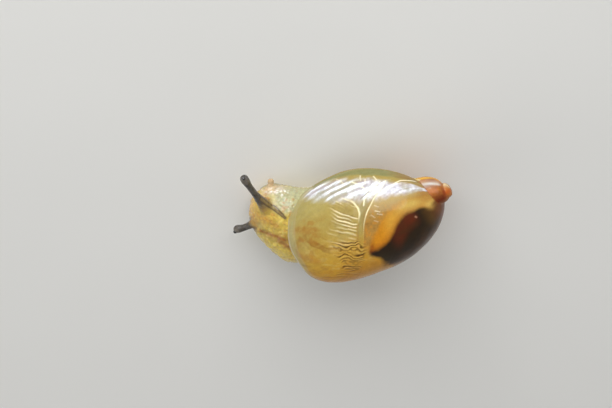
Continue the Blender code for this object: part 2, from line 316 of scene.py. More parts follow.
# growth lines: the angle (degrees back from the lip) that one line has at
# each level, relative to the last resting edge
GROWTH = ((-0.1, -12), (2.0, 20), (3.75, 44), (4.13, 50), (4.61, 59), (5.04, 67),
          (5.48, 78), (5.78, 89), (6.28, 104), (6.82, 118), (7.39, 133), (9.0, 160),
          (11.5, 192))
# second, older resting edge: level at each angle
OLD_EDGE = ((38, 6.15), (46, 5.79), (52, 5.56), (58, 5.44), (63, 5.45), (69, 5.59),
            (78, 5.91), (88, 6.18), (102, 6.60), (118, 7.20))
# front of the yellow gland seen through the wall, and of the dark one
BAND_EDGE = ((1.0, 62), (1.73, 66), (2.30, 64), (3.14, 68), (3.89, 75), (4.37, 81),
             (4.95, 91), (5.49, 97), (5.82, 104), (6.2, 110))
GLAND_EDGE = ((0.9, 108), (1.35, 101), (1.63, 90), (2.29, 84), (2.91, 84), (3.48, 90),
              (4.10, 100), (4.64, 106), (5.36, 109), (5.99, 110), (6.3, 116))
# lowest level of the dark gland at each angle
GLAND_BASE = ((100, 6.05), (110, 6.10), (115, 6.05), (121, 5.75), (134, 5.66),
              (153, 5.62), (200, 4.70), (240, 3.40))
# painted glare on the right flank, a highlight painted into the colour: level, middle angle, half width
PAINTED_GLARE = ((1.0, 47, 6), (1.45, 47, 8), (1.87, 46, 11), (2.6, 47, 12.5), (3.4, 45, 14.5), (4.35, 41, 16.5),
         (5.25, 37, 17), (6.3, 32, 16.5), (7.4, 25, 15), (8.5, 16, 11.5), (9.6, 10, 6.5),
         (10.6, 8, 4))
# width of the pale rim band at each angle
RIM_BAND = ((0, 1.5), (18, 1.3), (24, 1.0), (34, 0.84), (57, 0.66), (73, 0.56),
            (95, 0.42), (130, 0.30), (180, 0.26), (360, 0.30))
# lower limit (degrees) of the clear margin at each level
CLEAR = ((0.0, 22), (2.36, 22), (3.15, 21), (4.31, 18), (5.59, 13), (6.66, 10),
         (7.78, 8), (8.81, 3), (11.0, 1))


# fine raised lines on the wall, painted near-white along their crests as highlights: half width in mm, strength, path
# of (degrees, level)
LIT_RAISED_LINES = (
    (0.040, 0.95, ((25, 5.46), (30, 5.09), (37, 4.75))),
    (0.034, 0.70, ((17, 4.92), (25, 4.90))),
    (0.034, 0.75, ((24, 4.60), (32, 4.63))),
    (0.038, 0.80, ((21, 4.09), (28, 3.92))),
    (0.040, 0.90, ((43, 4.45), (36, 3.96), (31, 3.72))),
    (0.042, 0.95, ((45, 4.58), (51, 4.89), (57, 5.03))),
    (0.040, 0.90, ((40, 3.05), (34, 2.82), (29, 2.58), (26, 2.27), (20, 1.85))),
    (0.028, 0.55, ((67, 4.46), (70, 4.20))),
    (0.026, 0.40, ((71, 4.40), (74, 4.12))),
    (0.026, 0.40, ((61, 4.38), (64, 4.18))),
    (0.024, 0.35, ((70, 4.78), (74, 4.62))),
    (0.024, 0.30, ((77, 4.72), (80, 4.52))),
    (0.034, 0.50, ((12, 6.55), (20, 6.15), (26, 6.00))),
    (0.034, 0.60, ((30, 3.40), (38, 3.55), (44, 3.80))),
)
DARK_LINES = (
    (0.045, 0.80, ((49, 5.10), (46, 4.78), (43, 4.49))),
    (0.050, 0.55, ((31, 7.00), (30, 6.30), (28, 5.70))),
    (0.045, 0.45, ((24, 7.75), (21, 7.00), (18, 6.50))),
    (0.040, 0.45, ((36, 4.35), (30, 4.20), (25, 4.30))),
    (0.035, 0.50, ((32, 2.55), (29, 2.20), (24, 1.85))),
)


def shell_mark(where, path):
    """Distance in mm from a short line drawn on the wall."""
    deg = np.array([q[0] for q in path], float) / 360
    lev = np.array([q[1] for q in path], float)
    fine = np.linspace(0, 1, 9)
    rough = np.linspace(0, 1, len(path))
    deg, lev = np.interp(fine, rough, deg), np.interp(fine, rough, lev)
    return near_line(where, shell_place(deg, shell_radius(deg, lev), lev))[0]


def ribs(run, step, level, seed, along=1.1):
    """Uneven ridges: wave 0 to 1 and a strength that differs from rib to rib."""
    number = np.floor(run / step)
    wave = 0.5 - 0.5 * np.cos(2 * np.pi * (run / step - number))
    keep = scramble(number.astype(np.int64), number.astype(np.int64) * 0, number.astype(np.int64) * 0, seed)
    length = noise(np.stack([level * along + number * 7.31, number * 3.17, level * 0], 1), seed + 1)
    return wave, np.clip(0.35 + 0.65 * keep, 0, 1) * ease(-0.35, 0.25, length + 0.25 * keep)


def shell_relief(turn, level, where):
    """Height of the fine relief in mm, and masks used again for the colours."""
    deg = turn * 360
    line = deg - hermite(GROWTH, 1, level)
    wobble = 5 * fbm(where * 0.55, 2, 5) + 1.6 * fbm(where * 1.9, 2, 6)
    g = line + wobble
    young = deg - 3.0 * level + 0.35 * wobble
    young_side = ease(-12, -45, line)
    fine = ((curve_noise(g / 5.2, 1) * 0.6 + curve_noise(g / 2.6 + 9, 2) * 0.4) * (1 - young_side)
            + (curve_noise(young / 3.4, 51) * 0.6 + curve_noise(young / 1.5 + 5, 52) * 0.5) * young_side)
    coarse = curve_noise(g / 13.0 + 40, 3)
    patchy = 0.55 + 0.45 * fbm(where * 0.8 + 7, 2, 8)
    away = ease(0.6, 3.0, level)
    relief = away * (0.012 * fine * patchy + 0.012 * coarse)
    relief += 0.020 * fbm(where * 0.42 + 3, 2, 12) * ease(1.5, 4.0, level)

    # broad ribs over the right flank, towards the lip
    band_wave = np.cos(2 * np.pi * (young + 2.6 + 2.4 * fbm(where * 0.8 + 60, 2, 53)) / 9.0)
    band_wave = band_wave * np.clip(0.75 + 0.9 * fbm(where * 1.3 + 64, 2, 54), 0.2, 1.2)
    flank = ease(3.9, 5.2, level) * (1 - ease(8.7, 9.8, level)) * ease(1, 6, deg) * (1 - ease(38, 50, deg))
    relief += 0.012 * band_wave * flank

    # resting edge: a raised cord with a furrow on its older side
    span = ease(40, 52, deg) * (1 - 0.80 * ease(74, 96, deg)) * (1 - ease(108, 128, deg))
    edge_gap = (line + 0.8 * fbm(where * 1.7, 2, 21)) * 0.048
    cord_here = 0.55 + 0.45 * ease(-0.3, 0.2, fbm(where * 1.6 + 17, 2, 23))
    cord = np.exp(-(edge_gap / 0.048) ** 2) * span * cord_here
    furrow = np.exp(-((edge_gap + 0.16) / 0.12) ** 2) * span
    old_line = (hermite(OLD_EDGE, 1, deg) - level) * 0.9
    old_span = ease(44, 50, deg) * (1 - ease(90, 108, deg))
    old_cord = np.exp(-((old_line + 0.03 * fbm(where * 3, 2, 9)) / 0.05) ** 2) * old_span
    relief += 0.034 * cord - 0.020 * furrow + 0.030 * old_cord

    # pleats: short ridges running forward from the resting edge
    slope = hermite(((30, 16.0), (50, 15.5), (65, 13.0), (80, 10.0), (95, 7.0), (110, 6.5), (140, 9.0)), 1, deg)
    run = deg + slope * (level - 6.3) + 2.6 * fbm(where * 0.75 + 31, 2, 31) + 1.5 * fbm(where * 2.1 + 3, 2, 32)
    wave, strength = ribs(run, 4.3, level, 33)
    wave2, strength2 = ribs(run + 1.9, 2.7, level, 133, 1.7)
    pleat = ease(0.60, 0.97, wave) * strength
    thin = ease(0.62, 0.97, wave2) * strength2
    groove = ease(0.55, 0.98, 1 - wave) * strength
    reach = hermite(((30, 7.2), (45, 7.5), (60, 8.0), (72, 8.2), (88, 8.1), (110, 8.3), (140, 8.5)), 1, deg)
    reach = reach + 0.7 * fbm(where * 1.1 + 11, 2, 35)
    left_of = ease(0.0, 0.16, -old_line)
    pleat_zone = ease(37, 44, deg) * (1 - ease(84, 97, deg)) * left_of * (1 - ease(reach - 0.9, reach, level))
    relief += 0.030 * pleat * pleat_zone + 0.010 * thin * pleat_zone - 0.012 * groove * pleat_zone

    # lower creases: dark wavy folds further round the back
    bend = 7.5 * fbm(where * 1.55 + 51, 2, 41)
    wave3, strength3 = ribs(run + bend, 4.6, level, 43)
    fold = ease(0.52, 0.92, wave3) * np.clip(strength3 * 1.4, 0, 1)
    across = level * 14.0 + 0.35 * deg + 9.0 * fbm(where * 1.7 + 83, 2, 46)
    wave4, strength4 = ribs(across, 6.5, deg * 0.12, 47)
    scribble = (ease(0.60, 0.97, wave4) * strength4 * ease(-0.10, 0.2, fbm(where * 1.6 + 91, 2, 48))
                * ease(93, 101, deg) * (1 - ease(7.5, 8.1, level)))
    fold = np.maximum(fold, 0.9 * scribble)
    fold = fold * ease(-0.55, 0.05, fbm(where * 1.5 + 57, 2, 58))
    fold_crest = ease(0.60, 0.97, 1 - wave3) * strength3
    start = hermite(((78, 6.15), (88, 6.05), (94, 5.95), (106, 6.05), (118, 6.45), (132, 7.1)), 1, deg)
    start = start + 0.22 * fbm(where * 1.9 + 77, 2, 49)
    fold_zone = (ease(80, 91, deg) * (1 - ease(128, 142, deg)) * ease(start, start + 0.35, level)
                 * (1 - ease(reach - 0.6, reach + 0.3, level)))
    relief += (0.022 * fold_crest - 0.030 * fold) * fold_zone

    for half, amount, path in LIT_RAISED_LINES:
        relief += 0.022 * amount * np.exp(-(shell_mark(where, path) / half) ** 2)

    # the outer lip and front rim are a little thickened
    rim = rim_level(turn) - level
    relief += 0.018 * np.exp(-(rim / 0.22) ** 2)
    relief += 0.016 * np.exp(-((deg - 1.5) / 3.5) ** 2) * ease(2.2, 3.2, level)
    masks = dict(line=line, old_line=old_line, cord=cord, old_cord=old_cord, furrow=furrow,
                 pleat=pleat * pleat_zone, thin=thin * pleat_zone, groove=groove * pleat_zone,
                 pleat_zone=pleat_zone, fold=fold * fold_zone, fold_crest=fold_crest * fold_zone,
                 fold_zone=fold_zone, fine=fine, coarse=coarse, rim=rim, g=g, run=run,
                 band_wave=band_wave, flank=flank, young=young)
    return relief, masks


def shell_colours(turn, level, where, m):
    deg = turn * 360
    n1 = fbm(where * 0.9, 3, 101)
    n2 = fbm(where * 2.3 + 5, 3, 102)
    n3 = fbm(where * 6.0 + 9, 2, 103)
    n4 = fbm(where * np.array([3.0, 1.2, 3.0]) + 13, 3, 104)

    # honey coloured front of the body whorl, deeper over the back
    c = np.repeat(lin(196, 172, 100)[None], len(deg), 0)
    c = mix(c, lin(202, 164, 74), ease(56, 96, deg + 10 * n1))
    c = mix(c, lin(208, 154, 46), ease(92, 128, deg + 8 * n1))
    c = mix(c, lin(178, 128, 56), ease(0.05, 0.55, n4) * ease(40, 70, deg) * 0.45)
    c = mix(c, lin(214, 190, 118), ease(0.1, 0.6, -n4) * 0.45)
    c = mix(c, lin(196, 184, 128), (1 - ease(34, 56, deg + 6 * n1)) * ease(6.5, 8.0, level) * 0.6)
    streak = ease(0.12, 0.50, fbm(np.stack([m["run"] * 0.17, level * 0.55, level * 0 + 3.3], 1), 3, 111))
    c = mix(c, lin(150, 100, 40), streak * ease(58, 78, deg) * ease(6.9, 8.2, level) * 0.60)
    faint = ease(0.15, 0.7, m["fine"]) * ease(6.8, 8.0, level) * ease(40, 60, deg)
    c = mix(c, lin(222, 190, 112), faint * 0.22)
    speck = ease(0.30, 0.52, fbm(where * 2.6 + 21, 2, 113))
    c = mix(c, lin(188, 124, 46), speck * ease(40, 54, deg) * ease(8.0, 8.8, level)
            * (1 - ease(10.3, 10.7, level)) * 0.40)
    for spot, size in (((51, 10.15), 0.22), ((57, 9.50), 0.30), ((84, 10.55), 0.20), ((96, 9.6), 0.26),
                       ((66, 9.9), 0.16), ((74, 9.2), 0.18), ((60, 8.9), 0.18)):
        d = shell_mark(where, (spot, (spot[0] + 2, spot[1] - 0.25)))
        c = mix(c, lin(186, 118, 42), np.exp(-((d + 0.08 * n3) / size) ** 2) * 0.45)

    # pleated middle zone: paler, with creamy ridges
    c = mix(c, lin(196, 172, 108), m["pleat_zone"] * 0.70)
    c = mix(c, lin(158, 124, 62), m["pleat_zone"] * ease(0.0, 0.5, -n2) * 0.35)
    # painted shade in the grooves between the pleats
    c = mix(c, lin(140, 104, 48), m["groove"] * 0.55)
    c = mix(c, lin(226, 204, 148), m["thin"] * 0.45)

    # between the two resting edges: olive grey and see-through
    between = (ease(-0.06, 0.02, m["old_line"]) * ease(-0.02, 0.06, -m["line"] * 0.048)
               * ease(46, 56, deg) * (1 - ease(74, 98, deg)))
    c = mix(c, lin(180, 162, 108), between * 0.85)
    c = mix(c, lin(206, 186, 132), between * ease(0.1, 0.5, m["fine"]) * 0.4)

    # behind the resting edge
    behind = ease(0.0, 0.10, m["line"] * 0.048) * (1 - ease(98, 122, deg + 5 * n1))
    gland_back = (1 - ease(150, 230, deg))
    c_back = np.repeat(lin(184, 140, 74)[None], len(deg), 0)
    c_back = mix(c_back, lin(212, 184, 124), (1 - ease(56, 80, deg)) * 0.85)
    specks = ease(3.3, 4.1, level) * (1 - ease(100, 112, deg)) * ease(58, 70, deg)
    c_back = mix(c_back, lin(216, 146, 56), ease(0.1, 0.5, n3) * 0.60 * specks)
    c_back = mix(c_back, lin(156, 110, 52), ease(0.05, 0.5, -n3) * 0.45 * specks)
    c_back = mix(c_back, lin(204, 152, 58), ease(94, 112, deg) * 0.85)
    c_back = mix(c_back, lin(160, 112, 44), ease(0.0, 0.45, n2) * ease(100, 116, deg) * 0.55)
    c_back = mix(c_back, lin(78, 60, 28), ease(134, 146, deg + 4 * n2) * (1 - ease(5.9, 6.8, level + 0.3 * n2)) * 0.85)
    c = mix(c, c_back, behind)
    # left side: even amber with growth lines
    far = ease(112, 138, deg + 6 * n1) * (1 - ease(330, 350, deg))
    amber = np.repeat(lin(200, 142, 48)[None], len(deg), 0)
    amber = mix(amber, lin(172, 108, 34), ease(0.0, 0.6, m["fine"]) * 0.40)
    amber = mix(amber, lin(186, 126, 44), ease(0.0, 0.5, n1) * 0.5)
    amber = mix(amber, lin(176, 120, 48), ease(190, 260, deg))
    c = mix(c, amber, far)

    # yellow-orange gland band
    soft = 1.5 * n2
    band = (ease(-4, 4.5, deg - hermite(BAND_EDGE, 1, level) + soft * 1.6)
            * (1 - ease(5.80, 6.20, level + 0.15 * n2)) * (1 - ease(108, 124, deg)) * ease(1.0, 1.4, level))
    tone = np.repeat(lin(222, 186, 104)[None], len(deg), 0)
    tone = mix(tone, lin(222, 166, 66), ease(2.4, 3.6, level))
    tone = mix(tone, lin(214, 142, 30), ease(3.6, 4.8, level))
    tone = mix(tone, lin(126, 50, 4), ease(5.2, 5.9, level + 0.2 * n3))
    inner = ease(0, 9, deg - hermite(BAND_EDGE, 1, level))
    c = mix(c, mix(tone, lin(206, 134, 40), (1 - inner) * 0.35), band)

    # dark digestive gland
    wet = deg - hermite(GLAND_EDGE, 1, level) + 1.0 * n2 + 0.5 * n3
    gland = (ease(-2.5, 5.5, wet)
             * ease(-0.14 - 0.5 * ease(128, 160, deg), 0.24 + 0.9 * ease(128, 160, deg),
                    hermite(GLAND_BASE, 1, deg) - level + (0.10 + 0.4 * ease(128, 150, deg)) * n2)
             * gland_back * ease(1.10, 1.75, level + 0.12 * n1 + 0.45 * ease(96, 118, deg)))
    edge_tone = ease(-9, 1, wet) * ease(1.2, 1.8, level) * (1 - ease(5.6, 6.0, level)) * gland_back
    c = mix(c, lin(176, 98, 28), edge_tone * 0.50 * band)
    dark = np.repeat(lin(26, 15, 6)[None], len(deg), 0)
    red = ease(-2.0, 3.0, wet) * (1 - ease(12.0, 32.0, wet)) * ease(2.0, 2.6, level) * (1 - ease(3.6, 4.6, level))
    dark = mix(dark, lin(92, 30, 8), red * 0.9)
    dark = mix(dark, lin(78, 52, 20), (1 - ease(1.5, 2.2, level)) * (1 - ease(130, 150, deg)))
    dark = mix(dark, lin(52, 34, 13), ease(0.1, 0.6, n1) * 0.6)
    dark = mix(dark, lin(44, 34, 14), ease(110, 128, deg) * ease(4.6, 5.6, level) * 0.7)
    dark = mix(dark, lin(70, 36, 8), ease(130, 156, deg + 6 * n1) * 0.80)
    dark = mix(dark, lin(132, 74, 18), ease(156, 196, deg + 6 * n1) * 0.90)
    c = mix(c, dark, gland * 0.98)
    # painted highlight: a small pinkish glint on the dark gland
    c = mix(c, lin(196, 140, 116), np.exp(-(shell_mark(where, ((95, 2.36), (97, 2.32))) / 0.05) ** 2) * 0.8)
    # amber brown margin of the gland towards the spire
    c = mix(c, lin(96, 46, 10), (1 - ease(1.05, 1.70, level)) * ease(84, 100, deg)
            * (1 - ease(200, 260, deg)) * 0.9)
    # shoulder below the suture
    c = mix(c, lin(188, 124, 52), (1 - ease(1.5, 2.2, level)) * ease(20, 34, deg)
            * (1 - ease(76, 92, deg)) * (0.75 + 0.25 * n3) * 0.8)

    # clear margin along the right side, showing the grey-green hollow beneath
    limit = hermite(CLEAR, 1, level)
    clear = 1 - ease(limit - 2.5, limit + 3.5, deg + 1.5 * n2)
    c = mix(c, lin(154, 154, 108), clear * 0.9)
    c = mix(c, lin(180, 182, 138), clear * ease(0.0, 0.5, m["fine"]) * 0.35)
    c = mix(c, lin(178, 132, 66), clear * (1 - ease(2.2, 3.6, level)) * 0.8)
    c = mix(c, lin(196, 170, 112), (1 - ease(1.5, 5, deg)) * 0.8)
    c = mix(c, lin(184, 160, 104), (1 - ease(1.9, 2.8, level)) * ease(22, 28, deg) * (1 - ease(34, 40, deg)) * 0.6)

    # painted shade: the flank turned to the key light is painted darker, to even out the light it gets
    shade = 0.62 + 0.38 * ease(60, 125, deg)
    c = c * shade[:, None] * np.array([[1.0, 1.0, 0.80]])

    # painted highlight: a pale glare painted on the right flank, streaked by the growth ribs
    mid, half = hermite(PAINTED_GLARE, 1, level), hermite(PAINTED_GLARE, 2, level)
    off = (deg - mid + 4 * n2 + 2.5 * n1) / half
    glare_paint = 1 - ease(np.where(off > 0, 0.30, 0.50), np.where(off > 0, 1.15, 1.25), np.abs(off))
    glare_paint = glare_paint * (1 - ease(8.3, 9.8, level + 0.4 * n2))
    ribbed = m["flank"] * m["band_wave"]
    glare_level = 0.50 + 0.34 * ribbed + 0.42 * m["fine"] * (1 - 0.4 * m["flank"]) + 0.16 * n3 + 0.18 * n1
    heart = np.exp(-(((level - 5.4) / 0.8) ** 2 + ((deg - 37) / 9.0) ** 2))
    heart = np.maximum(heart, 0.8 * np.exp(-(((level - 4.0) / 0.9) ** 2 + ((deg - 44) / 8.0) ** 2)))
    glare_level = np.clip(glare_level + 0.24 * heart, 0, 1)
    glare_tone = np.repeat(lin(172, 172, 166)[None], len(deg), 0)
    glare_tone = mix(glare_tone, lin(178, 172, 186), ease(0.0, 0.5, n1 + 0.2))
    glare_tone = mix(glare_tone, lin(242, 246, 252), ease(0.30, 0.90, glare_level))
    c = mix(c, glare_tone, glare_paint * (0.66 + 0.33 * ease(0.2, 0.70, glare_level)))

    c = mix(c, lin(252, 240, 196), m["pleat"] * (0.85 - 0.30 * ease(0.3, 1.0, glare_paint)))

    # resting edges: raised cords painted cream as highlights on the lit flank, duller and browner further round;
    # painted shade in the furrow beside the newer cord
    fade = 1 - ease(72, 92, deg)
    c = mix(c, mix(np.repeat(lin(182, 160, 106)[None], len(deg), 0), lin(252, 242, 202), fade),
            m["cord"] * (0.95 - 0.55 * ease(84, 104, deg)))
    # painted shade in the furrow
    c = mix(c, lin(150, 112, 58), m["furrow"] * fade * 0.35)
    c = mix(c, lin(250, 238, 194), m["old_cord"] * (1 - ease(62, 76, deg)) * 0.98)
    c = mix(c, lin(150, 114, 60), m["old_cord"] * ease(64, 78, deg) * 0.55)
    # folds
    c = mix(c, lin(186, 140, 62), m["fold_zone"] * 0.35)
    c = mix(c, lin(226, 186, 98), m["fold_crest"] * 0.55)
    c = mix(c, lin(74, 48, 16), m["fold"] * 0.95)
    # painted highlights along the raised lines' crests
    for half_width, amount, path in LIT_RAISED_LINES:
        c = mix(c, lin(255, 246, 214), amount * np.exp(-(shell_mark(where, path) / half_width) ** 2))
    for half_width, amount, path in DARK_LINES:
        c = mix(c, lin(120, 112, 92), amount * np.exp(-(shell_mark(where, path) / half_width) ** 2))

    # front rim: a pale greenish, faintly lilac band with a clear edge
    band_in = hermite(RIM_BAND, 1, deg)
    rim = 1 - ease(band_in - 0.30, band_in + 0.20, m["rim"] + 0.06 * n2)
    c = mix(c, lin(170, 160, 112), rim * 0.68)
    c = mix(c, lin(204, 194, 170), (1 - ease(0.05, 0.14, m["rim"])) * 0.6)
    c = mix(c, lin(190, 178, 160), np.exp(-((m["rim"] - band_in) / 0.06) ** 2) * 0.14)

    # spire: orange to red-brown, with the suture a fine dark line
    own = whorl_radius(turn, level) - older_radius(turn, level)
    spire = ease(0.04, -0.04, own)
    fine_spire = curve_noise(deg / 4.0 + level * 3.0, 141)
    s = np.repeat(lin(178, 104, 44)[None], len(deg), 0)
    s = mix(s, lin(202, 136, 76), ease(0.0, 0.5, n2 + 0.4 * fine_spire) * 0.5)
    s = mix(s, lin(142, 74, 30), ease(0.0, 0.5, -n2 - 0.3 * fine_spire) * 0.5)
    s = mix(s, lin(208, 112, 40), bump(deg, 58, 22) * ease(0.5, 0.75, level) * 0.6)
    # painted highlight: a pinkish-white glare on the spire whorl, whitest at its middle
    spire_highlight = bump(deg, 22, 30) * ease(0.42, 0.62, level) * (0.7 + 0.5 * fine_spire)
    s = mix(s, lin(230, 200, 190), spire_highlight * 0.75)
    s = mix(s, lin(246, 244, 252), spire_highlight * bump(deg, 28, 14) * 0.7)
    s = mix(s, lin(186, 120, 76), (1 - ease(-8, 4, ((deg + 180) % 360) - 180)) * 0.6)
    s = mix(s, lin(118, 36, 10), bump(deg, 104, 46) * ease(0.40, 0.58, level) * 0.90)
    knob = 1 - ease(0.30, 0.46, level)
    s = mix(s, lin(210, 128, 62), knob * 0.8)
    # painted highlight: a cream glint on the knob
    s = mix(s, lin(244, 222, 184), knob * bump(deg, 10, 46) * ease(0.02, 0.12, level) * 0.75)
    s = mix(s, lin(206, 88, 24), knob * bump(deg, 88, 46) * 0.75)
    s = mix(s, lin(150, 44, 12), bump(level, 0.44, 0.14) * bump(deg, 80, 60) * 0.7)
    s = s * np.array([[0.70, 0.78, 0.72]])
    c = mix(c, s, spire)
    c = mix(c, lin(128, 66, 22), np.exp(-(own / 0.04) ** 2) * 0.75 * (1 - ease(2.4, 3.0, level)))
    inner_suture = whorl_radius(turn + 1, level) - np.maximum(whorl_radius(turn + 2, level), 0.0)
    c = mix(c, lin(138, 62, 24), np.exp(-(inner_suture / 0.03) ** 2) * 0.6 * spire * (1 - ease(0.6, 0.9, level)))
    c = c * (1 + 0.06 * n3 + 0.04 * n2)[:, None]
    return c, dict(gland=gland, glare_paint=glare_paint, spire=spire, clear=clear)


def zipper(a, b, ta, tb):
    """Triangles between two runs of points with their own spacing."""
    faces, i, j = [], 0, 0
    while i < len(a) - 1 or j < len(b) - 1:
        if j == len(b) - 1 or (i < len(a) - 1 and ta[i + 1] <= tb[j + 1]):
            tri = (a[i], a[i + 1], b[j])
            i += 1
        else:
            tri = (a[i], b[j + 1], b[j])
            j += 1
        if len(set(tri)) == 3:
            faces.append(tri)
    return faces


def shell_grid(columns, rows, inset, first, last_inset=0.0):
    """Points of a shell surface and their turn and level."""
    turn = np.asarray(columns)
    spire_rows = int(rows * 0.30)
    top = APEX_TOP + first
    a = (np.arange(spire_rows + 1) / spire_rows) ** 1.25
    b = np.arange(1, rows - spire_rows + 1) / (rows - spire_rows)
    T, L = [], []
    for t in turn:
        low = float(rim_level(t)) - last_inset
        band = min(SPIRE_BAND, 0.8 * low)
        T.append(np.full(rows + 1, t))
        L.append(np.concatenate([top + (band - top) * a, band + (low - band) * b]))
    T, L = np.array(T), np.array(L)
    R = shell_radius(T, L)
    R = np.maximum(R - inset, 0.02)
    R[:, 0] = 0.0
    return T, L, R


def build_shell():
    columns_open = np.linspace(0, 160 / 360, 251)
    columns_rest = np.linspace(160 / 360, 1.0, 141)[1:]
    columns = np.concatenate([columns_open, columns_rest])
    rows = 214
    T, L, R = shell_grid(columns, rows, 0.0, 0.0)
    flat = shell_place(T.ravel(), R.ravel(), L.ravel())
    relief, masks = shell_relief(T.ravel(), L.ravel(), flat)
    relief = relief * ease(0.0, 0.25, R.ravel())
    # the two sides of the lip's own line join in the spire, so they match there
    R2 = np.maximum(R + relief.reshape(R.shape), 0.0)
    R2[:, 0] = 0.0
    split = np.nonzero(np.abs(R[0] - R[-1]) > 0.02)[0]
    gap_row = int(split[split > 20][0]) - 1
    blend = 1 - ease(0, 0.12, T.ravel()).reshape(T.shape)
    for k in range(gap_row + 1):
        shift = R2[-1, k] - R2[0, k]
        R2[:, k] += shift * blend[:, k]
    outer = shell_place(T.ravel(), R2.ravel(), L.ravel())
    colour, more = shell_colours(T.ravel(), L.ravel(), flat, masks)

    nc, nr = len(columns), rows + 1
    in_columns = columns[::5] if (nc - 1) % 5 == 0 else np.append(columns[:-1:5], 1.0)
    in_rows = 44
    Ti, Li, Ri = shell_grid(in_columns, in_rows, WALL, 0.16)
    inner = shell_place(Ti.ravel(), Ri.ravel(), Li.ravel())
    ic, ir = len(in_columns), in_rows + 1
    split_in = np.nonzero(np.abs(Ri[0] - Ri[-1]) > 0.02)[0]
    gap_in = int(split_in[split_in > 4][0]) - 1

    verts = [outer, inner]
    faces = []
    alias = {}
    for k in range(gap_row + 1):
        alias[(nc - 1) * nr + k] = k
    for i in range(nc):
        alias[i * nr] = 0
    shift = nc * nr
    for k in range(gap_in + 1):
        alias[shift + (ic - 1) * ir + k] = shift + k
    for i in range(ic):
        alias[shift + i * ir] = shift

    def v(n):
        return alias.get(n, n)

    def add(*corner):
        out = []
        for n in corner:
            n = v(n)
            if n not in out:
                out.append(n)
        if len(out) > 2:
            faces.append(tuple(out))

    for i in range(nc - 1):
        for k in range(nr - 1):
            add(i * nr + k, (i + 1) * nr + k, (i + 1) * nr + k + 1, i * nr + k + 1)
    for i in range(ic - 1):
        for k in range(ir - 1):
            a = shift + i * ir + k
            add(a, a + 1, a + ir + 1, a + ir)

    # the wall's edge, once round the mouth, with a rounded middle run
    def loop(n_col, n_row, start, first):
        down = [first + k for k in range(start, n_row)]
        along = [first + i * n_row + n_row - 1 for i in range(1, n_col)]
        back = [first + (n_col - 1) * n_row + k for k in range(n_row - 2, start - 1, -1)]
        t = np.concatenate([np.linspace(0, 1, len(down)),
                            1 + np.arange(1, len(along) + 1) / len(along),
                            2 + np.arange(1, len(back) + 1) / len(back)])
        return [v(n) for n in down + along + back], t

    ring_out, t_out = loop(nc, nr, gap_row, 0)
    ring_in, t_in = loop(ic, ir, gap_in, shift)
    pts = np.concatenate([outer, inner])
    mid_in = np.stack([np.interp(t_out, t_in, pts[ring_in][:, k]) for k in range(3)], 1)
    p_out = pts[ring_out]
    middle = 0.5 * (p_out + mid_in)
    push = np.zeros_like(middle)
    lip_out = math.sin(math.radians(LIP_ANGLE)) * EAST - math.cos(math.radians(LIP_ANGLE)) * NORTH
    push[t_out < 1] = lip_out
    rim_part = (t_out >= 1) & (t_out <= 2)
    push[rim_part] = -AXIS
    middle = middle + push * 0.035
    mid_first = len(pts)
    ring_mid = [mid_first + i for i in range(len(middle))]
    ring_mid[-1] = ring_mid[0]
    for i in range(len(ring_out) - 1):
        add(ring_out[i + 1], ring_out[i], ring_mid[i], ring_mid[i + 1])
    for tri in zipper(ring_mid, ring_in, t_out, t_in):
        faces.append((tri[1], tri[0], tri[2]) if len(tri) == 3 else tri)
    verts = np.concatenate([pts, middle])

    edge_colour = np.repeat(lin(214, 196, 156)[None], len(middle), 0)
    inner_colour = np.repeat(lin(200, 170, 110)[None], len(inner), 0)
    colours = np.concatenate([colour, inner_colour, edge_colour])
    gland = np.concatenate([more["gland"], np.zeros(len(inner) + len(middle))])
    # weights of the painted glare highlight, none on the inner wall and the edge
    glare_paint = np.concatenate([more["glare_paint"], np.zeros(len(inner) + len(middle))])

    used = np.zeros(len(verts), bool)
    for f in faces:
        for n in f:
            used[n] = True
    renumber = np.cumsum(used) - 1
    faces = [tuple(int(renumber[n]) for n in f) for f in faces]
    ob = new_object("snail_shell", verts[used] * MM, faces)
    paint(ob, "tint", colours[used])
    weigh(ob, "gland", gland[used])
    weigh(ob, "glare_paint", np.clip(glare_paint[used], 0, 1))
    fix_normals(ob)
    return ob


def fix_normals(ob):
    bm = bmesh.new()
    bm.from_mesh(ob.data)
    bmesh.ops.recalc_face_normals(bm, faces=bm.faces)
    bm.to_mesh(ob.data)
    bm.free()
    ob.data.update()


